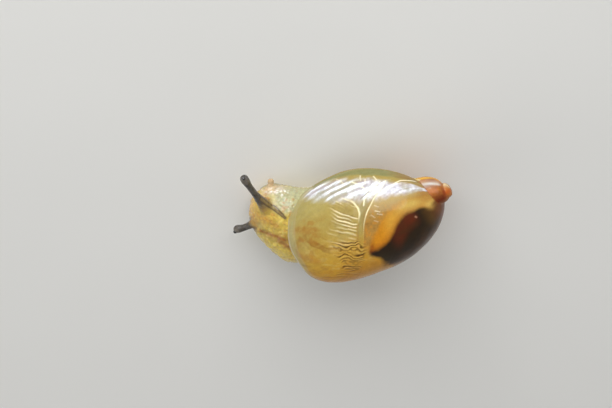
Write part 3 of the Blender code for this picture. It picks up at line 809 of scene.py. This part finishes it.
# ------------------------------------------------------------------ mantle
def build_mantle():
    """Soft mantle filling the shell, seen at the rim and in the mouth."""
    inset = WALL + 0.03
    columns = np.linspace(0.012, 0.985, 150)
    rows = 90
    verts, index = [], {}
    for i, t in enumerate(columns):
        low = float(shell_base(t)) - 0.10
        a = np.linspace(0, 1, rows + 1)
        levels = APEX_TOP + 0.5 + (low - APEX_TOP - 0.5) * np.sin(a * math.pi / 2) ** 0.95
        radius = np.maximum(shell_radius(t, levels) - inset, 0.01)
        radius[0] = radius[-1] = 0.0
        place = shell_place(np.full(rows + 1, t), radius, levels)
        for k in range(rows + 1):
            index[i, k] = len(verts)
            verts.append(place[k])
    verts = np.array(verts)
    ruffle = 0.03 * fbm(verts * 1.8, 3, 201)
    turn, level, radius = shell_coords(verts)
    pull = ruffle - 0.03
    radial = verts - (APEX - level[:, None] * AXIS)
    length = np.maximum(np.linalg.norm(radial, axis=1), 1e-6)
    verts = verts + radial / length[:, None] * (pull * ease(0.0, 0.5, length))[:, None]
    faces = []
    n = len(columns)
    for i in range(n - 1):
        for k in range(rows):
            faces.append((index[i, k], index[i + 1, k], index[i + 1, k + 1], index[i, k + 1]))
    # the face across the mouth, gently swollen
    steps = 10
    strip = {}
    out = math.sin(math.radians(LIP_ANGLE)) * EAST - math.cos(math.radians(LIP_ANGLE)) * NORTH
    extra = []
    for k in range(rows + 1):
        a, b = verts[index[0, k]], verts[index[n - 1, k]]
        for j in range(steps + 1):
            if j == 0:
                strip[k, j] = index[0, k]
            elif j == steps:
                strip[k, j] = index[n - 1, k]
            else:
                u = j / steps
                p = a + (b - a) * u
                swell = 0.10 * math.sin(math.pi * u) * math.sin(math.pi * k / rows)
                strip[k, j] = len(verts) + len(extra)
                extra.append(p + out * swell)
    for k in range(rows):
        for j in range(steps):
            faces.append((strip[k, j], strip[k, j + 1], strip[k + 1, j + 1], strip[k + 1, j]))
    verts = np.concatenate([verts, np.array(extra)])
    ob = new_object("snail_mantle", verts * MM, faces)
    bm = bmesh.new()
    bm.from_mesh(ob.data)
    bmesh.ops.remove_doubles(bm, verts=bm.verts, dist=1e-7)
    bmesh.ops.recalc_face_normals(bm, faces=bm.faces)
    bm.to_mesh(ob.data)
    bm.free()
    ob.data.polygons.foreach_set("use_smooth", [True] * len(ob.data.polygons))
    p = get_points(ob) / MM
    c = np.repeat(lin(196, 168, 96)[None], len(p), 0)
    c = mix(c, lin(168, 130, 66), ease(0.0, 0.5, fbm(p * 1.6, 3, 211)) * 0.5)
    c = mix(c, lin(128, 100, 58), ease(0.25, 0.5, fbm(p * 3.2, 2, 212)) * 0.35)
    paint(ob, "tint", c)
    return ob


# ------------------------------------------------------------------ body
def station_lengths():
    x = np.array([s[1] for s in STATIONS])
    y = np.array([s[2] for s in STATIONS])
    return np.concatenate([[0], np.cumsum(np.hypot(np.diff(x), np.diff(y)))])


LENGTHS = station_lengths()
BODY_LENGTH = float(LENGTHS[-1])
BODY_TABLE = tuple((LENGTHS[i],) + tuple(STATIONS[i][1:]) for i in range(len(STATIONS)))


def body_section(at, points):
    x, y, wide, tall, middle, heading = (float(hermite(BODY_TABLE, k, at))
                                         for k in range(1, 7))
    heading = math.radians(heading)
    side = np.array([math.cos(heading), -math.sin(heading), 0.0])
    front = BODY_LENGTH - at
    cap = low_cap = 1.0
    if front < SNOUT_ROUND:
        cap = low_cap = math.sqrt(max(1 - (1 - front / SNOUT_ROUND) ** 2, 0.0))
    if at < TAIL_ROUND:
        share = at / TAIL_ROUND
        cap = (1 - (1 - share) ** 2) ** 0.72
        middle *= (1 - (1 - share) ** 2) ** 0.90
    chin = CHIN_LIFT * max(0.0, 1 - front / 1.6)
    a = 2 * np.pi * np.arange(points) / points
    c, s = np.cos(a), np.sin(a)
    u = np.sign(c) * np.abs(c) ** (2 / FLANK_POWER)
    w = np.sign(s) * np.abs(s) ** (2 / FLANK_POWER)
    z = np.where(s >= 0, middle + (tall - middle) * cap * w,
                 middle + middle * SOLE_SINK * low_cap * w)
    z = np.maximum(z, chin if front < 1.6 else 0.0)
    ring = np.array([x, y, 0.0]) + side * (wide * cap * u)[:, None]
    ring[:, 2] = z
    return ring


def build_loft():
    rings, points = 150, 96
    a = np.linspace(0, 1, rings + 1)
    at = BODY_LENGTH * (0.5 - 0.5 * np.cos(a * np.pi))
    at = np.clip(0.6 * at + 0.4 * BODY_LENGTH * a, 0.012, BODY_LENGTH - 0.006)
    verts = np.concatenate([body_section(float(s), points) for s in at])
    faces = []
    for i in range(rings):
        for j in range(points):
            k = (j + 1) % points
            faces.append((i * points + j, i * points + k,
                          (i + 1) * points + k, (i + 1) * points + j))
    faces.append(tuple(range(points)))
    faces.append(tuple(rings * points + j for j in reversed(range(points))))
    return verts, faces


def curve_point(spec, t):
    root, mid, tip = (np.array(spec[k]) for k in ("root", "middle", "tip"))
    control = 2 * mid - 0.5 * (root + tip)
    return (1 - t) ** 2 * root + 2 * t * (1 - t) * control + t**2 * tip


def feeler_radius(spec, t):
    radii = spec["radii"]
    waist = radii[1] + (radii[0] - radii[1]) * max(0.0, 1 - t / 0.55) ** 1.6
    bulb = (radii[2] - radii[1]) * ease(0.70, 0.95, t)
    return float(waist + bulb)


def build_feeler(spec, rings=40, points=32):
    circles = []
    for i in range(rings + 1):
        t = i / rings
        circles.append((curve_point(spec, t), feeler_radius(spec, t), t))
    end = curve_point(spec, 1.0) - curve_point(spec, 0.94)
    end /= np.linalg.norm(end)
    tip_radius = circles[-1][1]
    for k in range(1, 10):
        a = k * math.pi / 2 / 10
        circles.append((circles[rings][0] + end * tip_radius * math.sin(a),
                        tip_radius * math.cos(a), 1.0))
    verts, faces = [], []
    for centre, radius, t in circles:
        tangent = curve_point(spec, min(t + 0.03, 1.0)) - curve_point(spec, t - 0.03)
        tangent /= np.linalg.norm(tangent)
        side = np.cross(tangent, (0, 0, 1))
        side /= np.linalg.norm(side)
        up = np.cross(side, tangent)
        for j in range(points):
            a = 2 * math.pi * j / points
            verts.append(centre + radius * (math.cos(a) * side + math.sin(a) * up))
    last = len(circles) - 1
    verts.append(circles[rings][0] + end * tip_radius)
    for i in range(last):
        for j in range(points):
            k = (j + 1) % points
            faces.append((i * points + j, i * points + k,
                          (i + 1) * points + k, (i + 1) * points + j))
    for j in range(points):
        faces.append((last * points + j, last * points + (j + 1) % points, len(verts) - 1))
    faces.append(tuple(range(points)))
    return np.array(verts), faces


def join(parts):
    verts, faces, start = [], [], 0
    for v, f in parts:
        verts.append(v)
        faces += [tuple(n + start for n in face) for face in f]
        start += len(v)
    return np.concatenate(verts), faces


def relax(points, edges, rounds, amount, hold=None):
    n = len(points)
    count = (np.bincount(edges[:, 0], minlength=n)
             + np.bincount(edges[:, 1], minlength=n)).astype(float)
    count[count == 0] = 1
    for _ in range(rounds):
        total = np.zeros_like(points)
        for k in range(3):
            total[:, k] = (np.bincount(edges[:, 0], points[edges[:, 1], k], minlength=n)
                           + np.bincount(edges[:, 1], points[edges[:, 0], k], minlength=n))
        step = (total / count[:, None] - points) * amount
        if hold is not None:
            step *= (1 - hold)[:, None]
        points = points + step
    return points


def near_line(points, path):
    """Distance to a bent line and the place along it (0 to 1)."""
    path = np.asarray(path, float)
    seg = np.linalg.norm(np.diff(path, axis=0), axis=1)
    mark = np.concatenate([[0], np.cumsum(seg)])
    best = np.full(len(points), 1e9)
    along = np.zeros(len(points))
    for i in range(len(path) - 1):
        d = path[i + 1] - path[i]
        t = np.clip(((points - path[i]) @ d) / (d @ d), 0, 1)
        dist = np.linalg.norm(points - (path[i] + t[:, None] * d), axis=1)
        closer = dist < best
        best = np.where(closer, dist, best)
        along = np.where(closer, (mark[i] + t * seg[i]) / mark[-1], along)
    return best, along


def feeler_path(spec, n=12):
    return [curve_point(spec, t) for t in np.linspace(0, 1, n)]


# marks on the skin, as paths in mm
RETRACTOR = ((-2.95, -4.60, 2.62), (-2.48, -4.28, 2.55), (-2.05, -3.92, 2.48),
             (-1.81, -3.58, 2.70), (-1.50, -3.19, 2.98))
RETRACTOR_LEFT = ((-0.72, -4.95, 2.55), (-0.10, -4.40, 2.85), (0.70, -3.80, 3.10))
STREAK = ((-0.25, -4.95, 2.66), (-0.16, -4.44, 2.91), (-0.15, -4.07, 3.07),
          (-0.03, -3.72, 3.23), (0.06, -3.35, 3.38))
STREAK_END = ((0.20, -3.75, 3.22), (0.42, -3.50, 3.34), (0.60, -3.10, 3.45))
STREAK_RIGHT = ((-1.30, -5.00, 2.25), (-1.25, -4.40, 2.70), (-0.95, -3.90, 2.97))


def build_skin():
    parts = [build_loft()]
    for spec in (UPPER_RIGHT, UPPER_LEFT, LOWER_RIGHT, LOWER_LEFT):
        parts.append(build_feeler(spec))
    verts, faces = join(parts)
    rough = new_object("snail_skin_rough", verts, faces)
    fix_normals(rough)
    mod = rough.modifiers.new("remesh", "REMESH")
    mod.mode = "VOXEL"
    mod.voxel_size = 0.062
    mod.adaptivity = 0.0
    mod.use_smooth_shade = True
    graph = bpy.context.evaluated_depsgraph_get()
    mesh = bpy.data.meshes.new_from_object(rough.evaluated_get(graph))
    bpy.data.objects.remove(rough)
    ob = bpy.data.objects.new("snail_skin", mesh)
    bpy.context.scene.collection.objects.link(ob)
    p = get_points(ob)
    edges = np.empty(len(mesh.edges) * 2, int)
    mesh.edges.foreach_get("vertices", edges)
    edges = edges.reshape(-1, 2)
    on_feeler = np.zeros(len(p))
    for spec in (UPPER_RIGHT, UPPER_LEFT, LOWER_RIGHT, LOWER_LEFT):
        d, t = near_line(p, feeler_path(spec))
        on_feeler = np.maximum(on_feeler, (1 - ease(0.36, 0.50, d)) * ease(0.35, 0.6, t))
    p = relax(p, edges, 5, 0.6, on_feeler * 0.75)
    set_points(ob, p)
    normal = get_normals(ob)

    body = ease(0.6, 0.9, 1 - on_feeler)
    flat = ease(0.22, 0.05, p[:, 2]) * ease(-0.3, -0.8, normal[:, 2])
    side = 1 - flat
    # granular skin: rounded tubercles parted by fine furrows
    near, second = cells(p / 0.30 + 0.35 * fbm(p * 1.5, 2, 301)[:, None], 302)
    grain = ease(0.02, 0.42, second - near)
    near2, second2 = cells(p / 0.17 + 5, 305)
    fine = ease(0.02, 0.45, second2 - near2)
    lift = -0.034 + 0.030 * grain * body + 0.010 * fine
    # soft transverse folds where the neck turns and meets the shell
    at = BODY_LENGTH * 0 + body_along(p)
    folds = np.sin(at * 2 * math.pi / 0.62 + 1.8 * fbm(p * 0.9, 2, 311))
    lift += 0.020 * folds * bump(at, 8.9, 1.9) * ease(0.8, 1.6, p[:, 2]) * body
    lift += 0.045 * fbm(p * 0.75 + 4, 2, 315) * body * 0.6
    # furrow above the foot's edge, with short notches
    slim = ease(-0.3, 2.2, at)
    skirt_line = (0.42 + 0.06 * fbm(p * 1.2, 2, 321)) * slim
    groove = np.exp(-((p[:, 2] - skirt_line) / 0.055) ** 2) * ease(-0.2, 0.2, 0.9 - np.abs(normal[:, 2]))
    lift -= 0.045 * groove * (1 - ease(8.6, 9.8, at)) * ease(0.5, 1.6, at)
    notch = np.clip(np.sin(at * 2 * math.pi / 0.36 + 1.2 * fbm(p * 2, 2, 323)), 0, 1) ** 4
    lift -= 0.022 * notch * (p[:, 2] < skirt_line) * (p[:, 2] > 0.04) * (1 - flat) * slim
    # lined feelers
    d_r, t_r = near_line(p, feeler_path(UPPER_RIGHT))
    d_l, t_l = near_line(p, feeler_path(UPPER_LEFT))
    rings = np.sin(t_r * 2 * math.pi * 26) * (t_r < 0.85) + np.sin(t_l * 2 * math.pi * 16) * (t_l < 0.8)
    lift += 0.004 * rings * on_feeler
    lift = np.where(on_feeler > 0.5, lift * 0.55, lift)
    # mouth: a short bent slit between two soft lips, low on the front
    mouth = mouth_marks(p, normal)
    lift += 0.050 * mouth["lips"] - 0.085 * mouth["slit"] - 0.014 * mouth["creases"]
    # raised cord where the feeler's muscle runs back under the skin
    d, t = near_line(p, RETRACTOR)
    lift += 0.014 * np.exp(-(d / 0.18) ** 2) * (1 - ease(0.8, 1.0, t))
    p2 = p + normal * (lift * side)[:, None]
    p2[:, 2] = np.where(flat > 0.5, 0.0, np.maximum(p2[:, 2], 0.0))
    set_points(ob, p2)
    colour, dark, wet = skin_colours(p, normal, at, on_feeler, grain, fine, groove)
    set_points(ob, p2 * MM)
    paint(ob, "tint", colour)
    weigh(ob, "dark", dark)
    mesh.polygons.foreach_set("use_smooth", [True] * len(mesh.polygons))
    mesh.update()
    return ob


def mouth_marks(p, normal):
    head = STATIONS[-1]
    turn = math.radians(head[6])
    ahead = np.array([-math.sin(turn), -math.cos(turn), 0.0])
    side = np.array([math.cos(turn), -math.sin(turn), 0.0])
    rel = p - np.array([head[1], head[2], 0.0])
    f, u, v = rel @ ahead, rel @ side, p[:, 2]
    front = ease(-1.1, -0.7, f) * ease(0.1, 0.5, normal @ (0.8 * ahead + np.array([0, 0, -0.6])))
    across = np.hypot(np.maximum(np.abs(u) - 0.24, 0), v - (0.58 - 0.55 * u * u))
    down = np.hypot(u, np.maximum(np.abs(v - 0.44) - 0.10, 0))
    line = np.minimum(across, down)
    slit = np.exp(-(line / 0.050) ** 2) * front
    lips = np.exp(-((line - 0.15) / 0.085) ** 2) * front
    around = np.arctan2(v - 0.52, u)
    far = np.hypot(u, v - 0.52)
    creases = (np.clip(np.cos(around * 17 + 0.8 * fbm(p * 1.5, 2, 341)), 0, 1) ** 3
               * bump(far, 0.46, 0.30) * front)
    return dict(slit=slit, lips=lips, creases=creases)


def body_along(p):
    """Place along the body, mm from the tail tip."""
    s = np.linspace(0, BODY_LENGTH, 160)
    x, y = hermite(BODY_TABLE, 1, s), hermite(BODY_TABLE, 2, s)
    best = np.full(len(p), 1e9)
    out = np.zeros(len(p))
    for i in range(len(s)):
        d = (p[:, 0] - x[i]) ** 2 + (p[:, 1] - y[i]) ** 2
        closer = d < best
        best = np.where(closer, d, best)
        out = np.where(closer, s[i], out)
    return out


def skin_colours(p, normal, at, on_feeler, grain, fine, groove):
    n1 = fbm(p * 0.7, 3, 401)
    n2 = fbm(p * 2.0 + 3, 3, 402)
    n3 = fbm(p * 5.0 + 8, 2, 403)
    x, y, z = p.T
    c = np.repeat(lin(206, 172, 96)[None], len(p), 0)
    c = mix(c, lin(222, 194, 124), ease(0.0, 0.6, n2) * 0.6)
    c = mix(c, lin(192, 148, 76), ease(0.05, 0.6, -n2) * 0.4)
    c = mix(c, lin(212, 182, 96), ease(0.1, 0.9, x + 0.3 * n1) * ease(-3.0, -3.8, y) * 0.5)
    # yellower overall, with painted light: the upper left side, turned from the key light, painted up to a quarter
    # lighter; pale, greenish near the shell on the right side and down the flank
    c = c * np.array([[0.95, 1.02, 0.66]]) * (1 + 0.25 * ease(0.0, 1.2, x) * ease(0.8, 1.8, z))[:, None]
    c = mix(c, lin(164, 170, 142), ease(-1.5, -2.0, x) * ease(-4.3, -3.5, y) * (0.75 + 0.2 * n2))
    c = mix(c, lin(160, 162, 120), ease(-1.9, -2.2, x) * ease(-4.6, -4.2, y) * (1 - ease(-4.1, -3.8, y)) * 0.5)
    # brown-orange stain below the right feeler
    d, t = near_line(p, ((-2.30, -4.95, 1.75), (-2.45, -4.60, 1.50)))
    c = mix(c, lin(170, 112, 48), np.exp(-((d + 0.06 * n3) / 0.24) ** 2) * 0.6)
    c = mix(c, lin(186, 164, 104), (1 - ease(0.3, 1.3, z)) * 0.6)
    c = mix(c, lin(196, 176, 124), (1 - ease(0.05, 0.42, z)) * 0.5)
    # pinkish cheek and snout
    c = mix(c, lin(200, 160, 108), ease(-4.9, -5.5, y) * ease(-0.5, -1.0, x) * 0.6)
    # painted highlight: a pale whitish patch where the glare falls on the right flank of the head and neck
    d, t = near_line(p, ((-2.25, -4.30, 1.15), (-2.35, -3.9, 1.2), (-2.3, -3.5, 1.1)))
    c = mix(c, lin(214, 196, 178), np.exp(-(d / 0.45) ** 2) * 0.7)
    # grey sole
    c = mix(c, lin(176, 166, 124), ease(-0.4, -0.9, normal[:, 2]) * (z < 0.2) * 0.9)
    # orange-brown specks
    speck = ease(0.32, 0.52, fbm(p * 4.3 + 40, 2, 411))
    c = mix(c, lin(184, 118, 48), speck * ease(0.9, 1.6, z) * 0.40)
    dots = ease(0.40, 0.55, fbm(p * 7.5 + 70, 2, 413))
    c = mix(c, lin(140, 98, 48), dots * 0.25)
    # streaks
    for path, width, tone, amount in (
            (STREAK, 0.17, lin(158, 92, 30), 0.85), (STREAK_END, 0.22, lin(150, 90, 32), 0.8),
            (STREAK_RIGHT, 0.22, lin(178, 118, 48), 0.5)):
        d, t = near_line(p, path)
        c = mix(c, tone, np.exp(-((d + 0.05 * n3) / width) ** 2) * amount)
    # painted highlights: white wet glints on the granules of the right flank
    for spot, size in (((-2.16, -4.67, 0.64), 0.18), ((-2.51, -3.77, 1.26), 0.26), ((-2.50, -3.17, 1.51), 0.26),
                       ((-2.18, -3.07, 1.96), 0.22), ((-2.40, -3.40, 1.60), 0.26), ((-2.45, -4.15, 1.10), 0.20)):
        d = np.linalg.norm(p - np.array(spot), axis=1)
        c = mix(c, lin(244, 246, 246), np.exp(-((d + 0.10 * n2) / size) ** 2) * ease(0.25, 0.8, grain) * 0.9)
    # painted shade: the furrows between the granules are painted darker than the granules
    c = c * (0.93 + 0.11 * grain + 0.03 * fine + 0.03 * n3)[:, None]
    # painted shade in the furrow above the foot's edge
    c = mix(c, lin(136, 104, 56), groove * 0.40)
    mouth = mouth_marks(p, normal)
    c = mix(c, lin(222, 186, 150), mouth["lips"] * 0.6)
    # painted shade in the mouth's slit and in the creases around it
    c = mix(c, lin(96, 56, 30), mouth["slit"] * 0.85)
    c = mix(c, lin(160, 118, 74), mouth["creases"] * 0.35)
    # eye feelers: slate grey over a dark core, brown and clear at the root
    dark = np.zeros(len(p))
    slate = np.repeat(lin(74, 73, 72)[None], len(p), 0)
    slate = mix(slate, lin(36, 35, 36), ease(-0.1, 0.4, n3) * 0.8)
    for spec in (UPPER_RIGHT, UPPER_LEFT):
        d, t = near_line(p, feeler_path(spec))
        on = (1 - ease(0.42, 0.60, d))
        start = 0.12 if spec is UPPER_RIGHT else 0.22
        core = on * ease(start, start + 0.30, t)
        c = mix(c, lin(150, 112, 60), on * ease(0.0, 0.15, t) * 0.6)
        c = mix(c, slate, core * 0.95)
        # painted highlight on the upper side of each feeler's tip
        c = mix(c, lin(120, 112, 100), core * bump(t, 0.97, 0.10) * ease(0.2, 0.7, normal[:, 2]) * 0.6)
        dark = np.maximum(dark, core)
    d, t = near_line(p, feeler_path(UPPER_RIGHT))
    under = ease(0.2, -0.5, normal[:, 2]) * (1 - ease(0.42, 0.6, d)) * (1 - ease(0.55, 0.75, t))
    c = mix(c, lin(168, 110, 56), under * 0.75)
    # muscle of the right feeler seen through the neck
    d, t = near_line(p, RETRACTOR)
    taper = 1 - 0.45 * ease(0.45, 1.0, t)
    tube = np.exp(-(d / (0.17 * taper)) ** 4)
    rail = np.exp(-((d - 0.14 * taper) / 0.05) ** 2)
    c = mix(c, lin(132, 112, 70), tube * 0.75)
    c = mix(c, lin(70, 56, 46), rail * 0.80 * (1 - 0.5 * ease(0.9, 1.0, t)))
    c = mix(c, lin(84, 62, 50), tube * ease(0.70, 1.0, t) * 0.45)
    d, t = near_line(p, RETRACTOR_LEFT)
    c = mix(c, lin(132, 112, 62), np.exp(-(d / 0.24) ** 2) * (1 - t) * 0.5)
    # lower feelers: pale with brown tips
    for spec in (LOWER_RIGHT, LOWER_LEFT):
        d, t = near_line(p, feeler_path(spec))
        on = 1 - ease(0.34, 0.46, d)
        # painted shade: a darker ring round the base of each lower feeler
        ring = np.exp(-((d - 0.40) / 0.07) ** 2) * ease(0.25, 0.45, t)
        c = mix(c, lin(150, 108, 60), ring * 0.45)
        c = mix(c, lin(212, 186, 146), on * ease(0.10, 0.4, t) * 0.7)
        c = mix(c, lin(146, 118, 98), on * ease(0.80, 1.0, t) * 0.45)
    return c, dark, on_feeler


def build_eye(name):
    spec, bulb, toward = EYE_SEATS[name]
    tip = curve_point(spec, 1.0)
    along = tip - curve_point(spec, 0.94)
    along /= np.linalg.norm(along)
    aim = along * 0.75 + np.array(toward)
    aim /= np.linalg.norm(aim)
    centre = tip + aim * (bulb - EYE_RADIUS + EYE_PROUD)
    mesh = bpy.data.meshes.new(name)
    bm = bmesh.new()
    bmesh.ops.create_icosphere(bm, subdivisions=4, radius=EYE_RADIUS * MM)
    bmesh.ops.translate(bm, verts=bm.verts, vec=Vector(centre * MM))
    bm.to_mesh(mesh)
    bm.free()
    mesh.polygons.foreach_set("use_smooth", [True] * len(mesh.polygons))
    ob = bpy.data.objects.new("snail_" + name, mesh)
    bpy.context.scene.collection.objects.link(ob)
    return ob


# ------------------------------------------------------------------ materials
def new_material(name):
    mat = bpy.data.materials.new(name)
    mat.use_nodes = True
    nodes, links = mat.node_tree.nodes, mat.node_tree.links
    return mat, nodes, links, nodes["Principled BSDF"]


def add_node(nodes, kind, **values):
    node = nodes.new(kind)
    for key, value in values.items():
        setattr(node, key, value)
    return node


def noise_node(nodes, links, coords, scale, detail=3.0, rough=0.55):
    tex = nodes.new("ShaderNodeTexNoise")
    tex.inputs["Scale"].default_value = scale
    tex.inputs["Detail"].default_value = detail
    tex.inputs["Roughness"].default_value = rough
    links.new(coords.outputs["Object"], tex.inputs["Vector"])
    return tex


def tinted(nodes, links, factor_socket, dark, light):
    """Attribute colour multiplied by a grey range driven by a noise."""
    attr = add_node(nodes, "ShaderNodeAttribute", attribute_name="tint")
    spread = nodes.new("ShaderNodeMapRange")
    spread.inputs["From Min"].default_value = 0.3
    spread.inputs["From Max"].default_value = 0.7
    spread.inputs["To Min"].default_value = dark
    spread.inputs["To Max"].default_value = light
    links.new(factor_socket, spread.inputs["Value"])
    times = nodes.new("ShaderNodeVectorMath")
    times.operation = "SCALE"
    links.new(attr.outputs["Color"], times.inputs[0])
    links.new(spread.outputs["Result"], times.inputs["Scale"])
    return times.outputs["Vector"]


def shell_material():
    mat, nodes, links, bsdf = new_material("shell_wall_look")
    coords = nodes.new("ShaderNodeTexCoord")
    fine = noise_node(nodes, links, coords, 9000.0, 4.0, 0.6)
    links.new(tinted(nodes, links, fine.outputs["Fac"], 0.93, 1.07), bsdf.inputs["Base Color"])
    broad = noise_node(nodes, links, coords, 1400.0, 3.0)
    rough = nodes.new("ShaderNodeMapRange")
    rough.inputs["From Min"].default_value = 0.3
    rough.inputs["From Max"].default_value = 0.7
    rough.inputs["To Min"].default_value = 0.34
    rough.inputs["To Max"].default_value = 0.48
    links.new(broad.outputs["Fac"], rough.inputs["Value"])
    links.new(rough.outputs["Result"], bsdf.inputs["Roughness"])
    height = nodes.new("ShaderNodeBump")
    height.inputs["Strength"].default_value = 0.25
    height.inputs["Distance"].default_value = 0.00001
    links.new(fine.outputs["Fac"], height.inputs["Height"])
    links.new(height.outputs["Normal"], bsdf.inputs["Normal"])
    bsdf.inputs["Subsurface Weight"].default_value = 0.22
    bsdf.inputs["Subsurface Radius"].default_value = (1.0, 0.55, 0.2)
    bsdf.inputs["Subsurface Scale"].default_value = 0.00025
    bsdf.inputs["IOR"].default_value = 1.22
    bsdf.inputs["Coat Weight"].default_value = 0.50
    bsdf.inputs["Coat Roughness"].default_value = 0.07
    bsdf.inputs["Coat IOR"].default_value = 1.33
    return mat


def skin_material():
    mat, nodes, links, bsdf = new_material("flesh_look")
    coords = nodes.new("ShaderNodeTexCoord")
    fine = noise_node(nodes, links, coords, 12000.0, 3.0, 0.6)
    grain = noise_node(nodes, links, coords, 5200.0, 3.0, 0.6)
    links.new(tinted(nodes, links, grain.outputs["Fac"], 0.86, 1.12), bsdf.inputs["Base Color"])
    rough = nodes.new("ShaderNodeMapRange")
    rough.inputs["From Min"].default_value = 0.3
    rough.inputs["From Max"].default_value = 0.7
    rough.inputs["To Min"].default_value = 0.26
    rough.inputs["To Max"].default_value = 0.46
    links.new(grain.outputs["Fac"], rough.inputs["Value"])
    links.new(rough.outputs["Result"], bsdf.inputs["Roughness"])
    height = nodes.new("ShaderNodeBump")
    height.inputs["Strength"].default_value = 0.45
    height.inputs["Distance"].default_value = 0.00002
    links.new(fine.outputs["Fac"], height.inputs["Height"])
    links.new(height.outputs["Normal"], bsdf.inputs["Normal"])
    bsdf.inputs["Subsurface Weight"].default_value = 0.35
    bsdf.inputs["Subsurface Radius"].default_value = (1.0, 0.6, 0.25)
    bsdf.inputs["Subsurface Scale"].default_value = 0.0003
    bsdf.inputs["IOR"].default_value = 1.30
    bsdf.inputs["Coat Weight"].default_value = 0.90
    bsdf.inputs["Coat Roughness"].default_value = 0.06
    bsdf.inputs["Coat IOR"].default_value = 1.38
    return mat


def eye_material():
    mat, nodes, links, bsdf = new_material("eye_look")
    coords = nodes.new("ShaderNodeTexCoord")
    tex = noise_node(nodes, links, coords, 9000.0, 2.0)
    ramp = nodes.new("ShaderNodeValToRGB")
    ramp.color_ramp.elements[0].color = (0.004, 0.004, 0.004, 1)
    ramp.color_ramp.elements[1].color = (0.030, 0.024, 0.020, 1)
    links.new(tex.outputs["Fac"], ramp.inputs["Fac"])
    links.new(ramp.outputs["Color"], bsdf.inputs["Base Color"])
    bsdf.inputs["Roughness"].default_value = 0.12
    bsdf.inputs["Coat Weight"].default_value = 1.0
    bsdf.inputs["Coat Roughness"].default_value = 0.03
    return mat


def floor_material():
    mat, nodes, links, bsdf = new_material("floor_look")
    coords = nodes.new("ShaderNodeTexCoord")
    tex = noise_node(nodes, links, coords, 60.0, 2.0)
    ramp = nodes.new("ShaderNodeValToRGB")
    ramp.color_ramp.elements[0].color = (0.76, 0.76, 0.74, 1)
    ramp.color_ramp.elements[1].color = (0.80, 0.80, 0.78, 1)
    links.new(tex.outputs["Fac"], ramp.inputs["Fac"])
    links.new(ramp.outputs["Color"], bsdf.inputs["Base Color"])
    bsdf.inputs["Roughness"].default_value = 0.85
    return mat


# ------------------------------------------------------------------ pieces
shell = build_shell()
shell.data.materials.append(shell_material())
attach(shell, "root")
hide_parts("shell")

flesh = skin_material()
mantle = build_mantle()
mantle.data.materials.append(flesh)
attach(mantle, "root")

skin = build_skin()
skin.data.materials.clear()
skin.data.materials.append(flesh)
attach(skin, "root")
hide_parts("tail", "foot", "neck", "head", "tentacle_upper_right",
            "tentacle_upper_left", "tentacle_lower_right", "tentacle_lower_left")

eye_look = eye_material()
for which in ("eye_right", "eye_left"):
    eye = build_eye(which)
    eye.data.materials.append(eye_look)
    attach(eye, "root")
    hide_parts(which)

# ------------------------------------------------------------------ floor, light, camera
floor = new_object("floor", [(-1.5, -1.5, 0), (1.5, -1.5, 0), (1.5, 1.5, 0), (-1.5, 1.5, 0)],
                   [(0, 1, 2, 3)], smooth=False)
floor.data.materials.append(floor_material())

bpy.context.scene.view_settings.view_transform = "Standard"
world = bpy.data.worlds.new("studio")
bpy.context.scene.world = world
world.use_nodes = True
back = world.node_tree.nodes["Background"]
back.inputs["Color"].default_value = (1.0, 0.99, 0.97, 1)
back.inputs["Strength"].default_value = 0.42


def softbox(name, place, target, size, power, colour=(1, 1, 1)):
    data = bpy.data.lights.new(name, "AREA")
    data.shape = "RECTANGLE"
    data.size, data.size_y = size
    data.energy = power
    data.color = colour
    ob = bpy.data.objects.new(name, data)
    bpy.context.scene.collection.objects.link(ob)
    ob.location = place
    ob.rotation_euler = (Vector(target) - Vector(place)).to_track_quat("-Z", "Y").to_euler()
    return ob


CENTRE = (-0.0015, 0.001, 0.003)
softbox("key", (-0.17, 0.00, 0.075), CENTRE, (0.22, 0.13), 0.38)
softbox("low", (-0.17, -0.03, 0.020), CENTRE, (0.030, 0.012), 0.035)
softbox("fill", (0.05, -0.20, 0.10), CENTRE, (0.16, 0.12), 0.05)

camera = bpy.data.cameras.new("camera")
camera.sensor_width = 36.0
camera.lens = 36.0 * 170.0 / 40.8
camera.clip_start = 0.001
camera.clip_end = 20.0
camera_ob = bpy.data.objects.new("camera", camera)
bpy.context.scene.collection.objects.link(camera_ob)
RIGHT = (0.08715574, 0.9961947, 0.0)
UP = (-0.76312941, 0.06676517, -0.64278761)
TOWARD = (-0.64034161, 0.05602263, 0.76604444)
turned = Matrix((RIGHT, UP, TOWARD)).transposed().to_4x4()
camera_ob.matrix_world = Matrix.Translation((-0.1089757, 0.00759342, 0.13027041)) @ turned
bpy.context.scene.camera = camera_ob
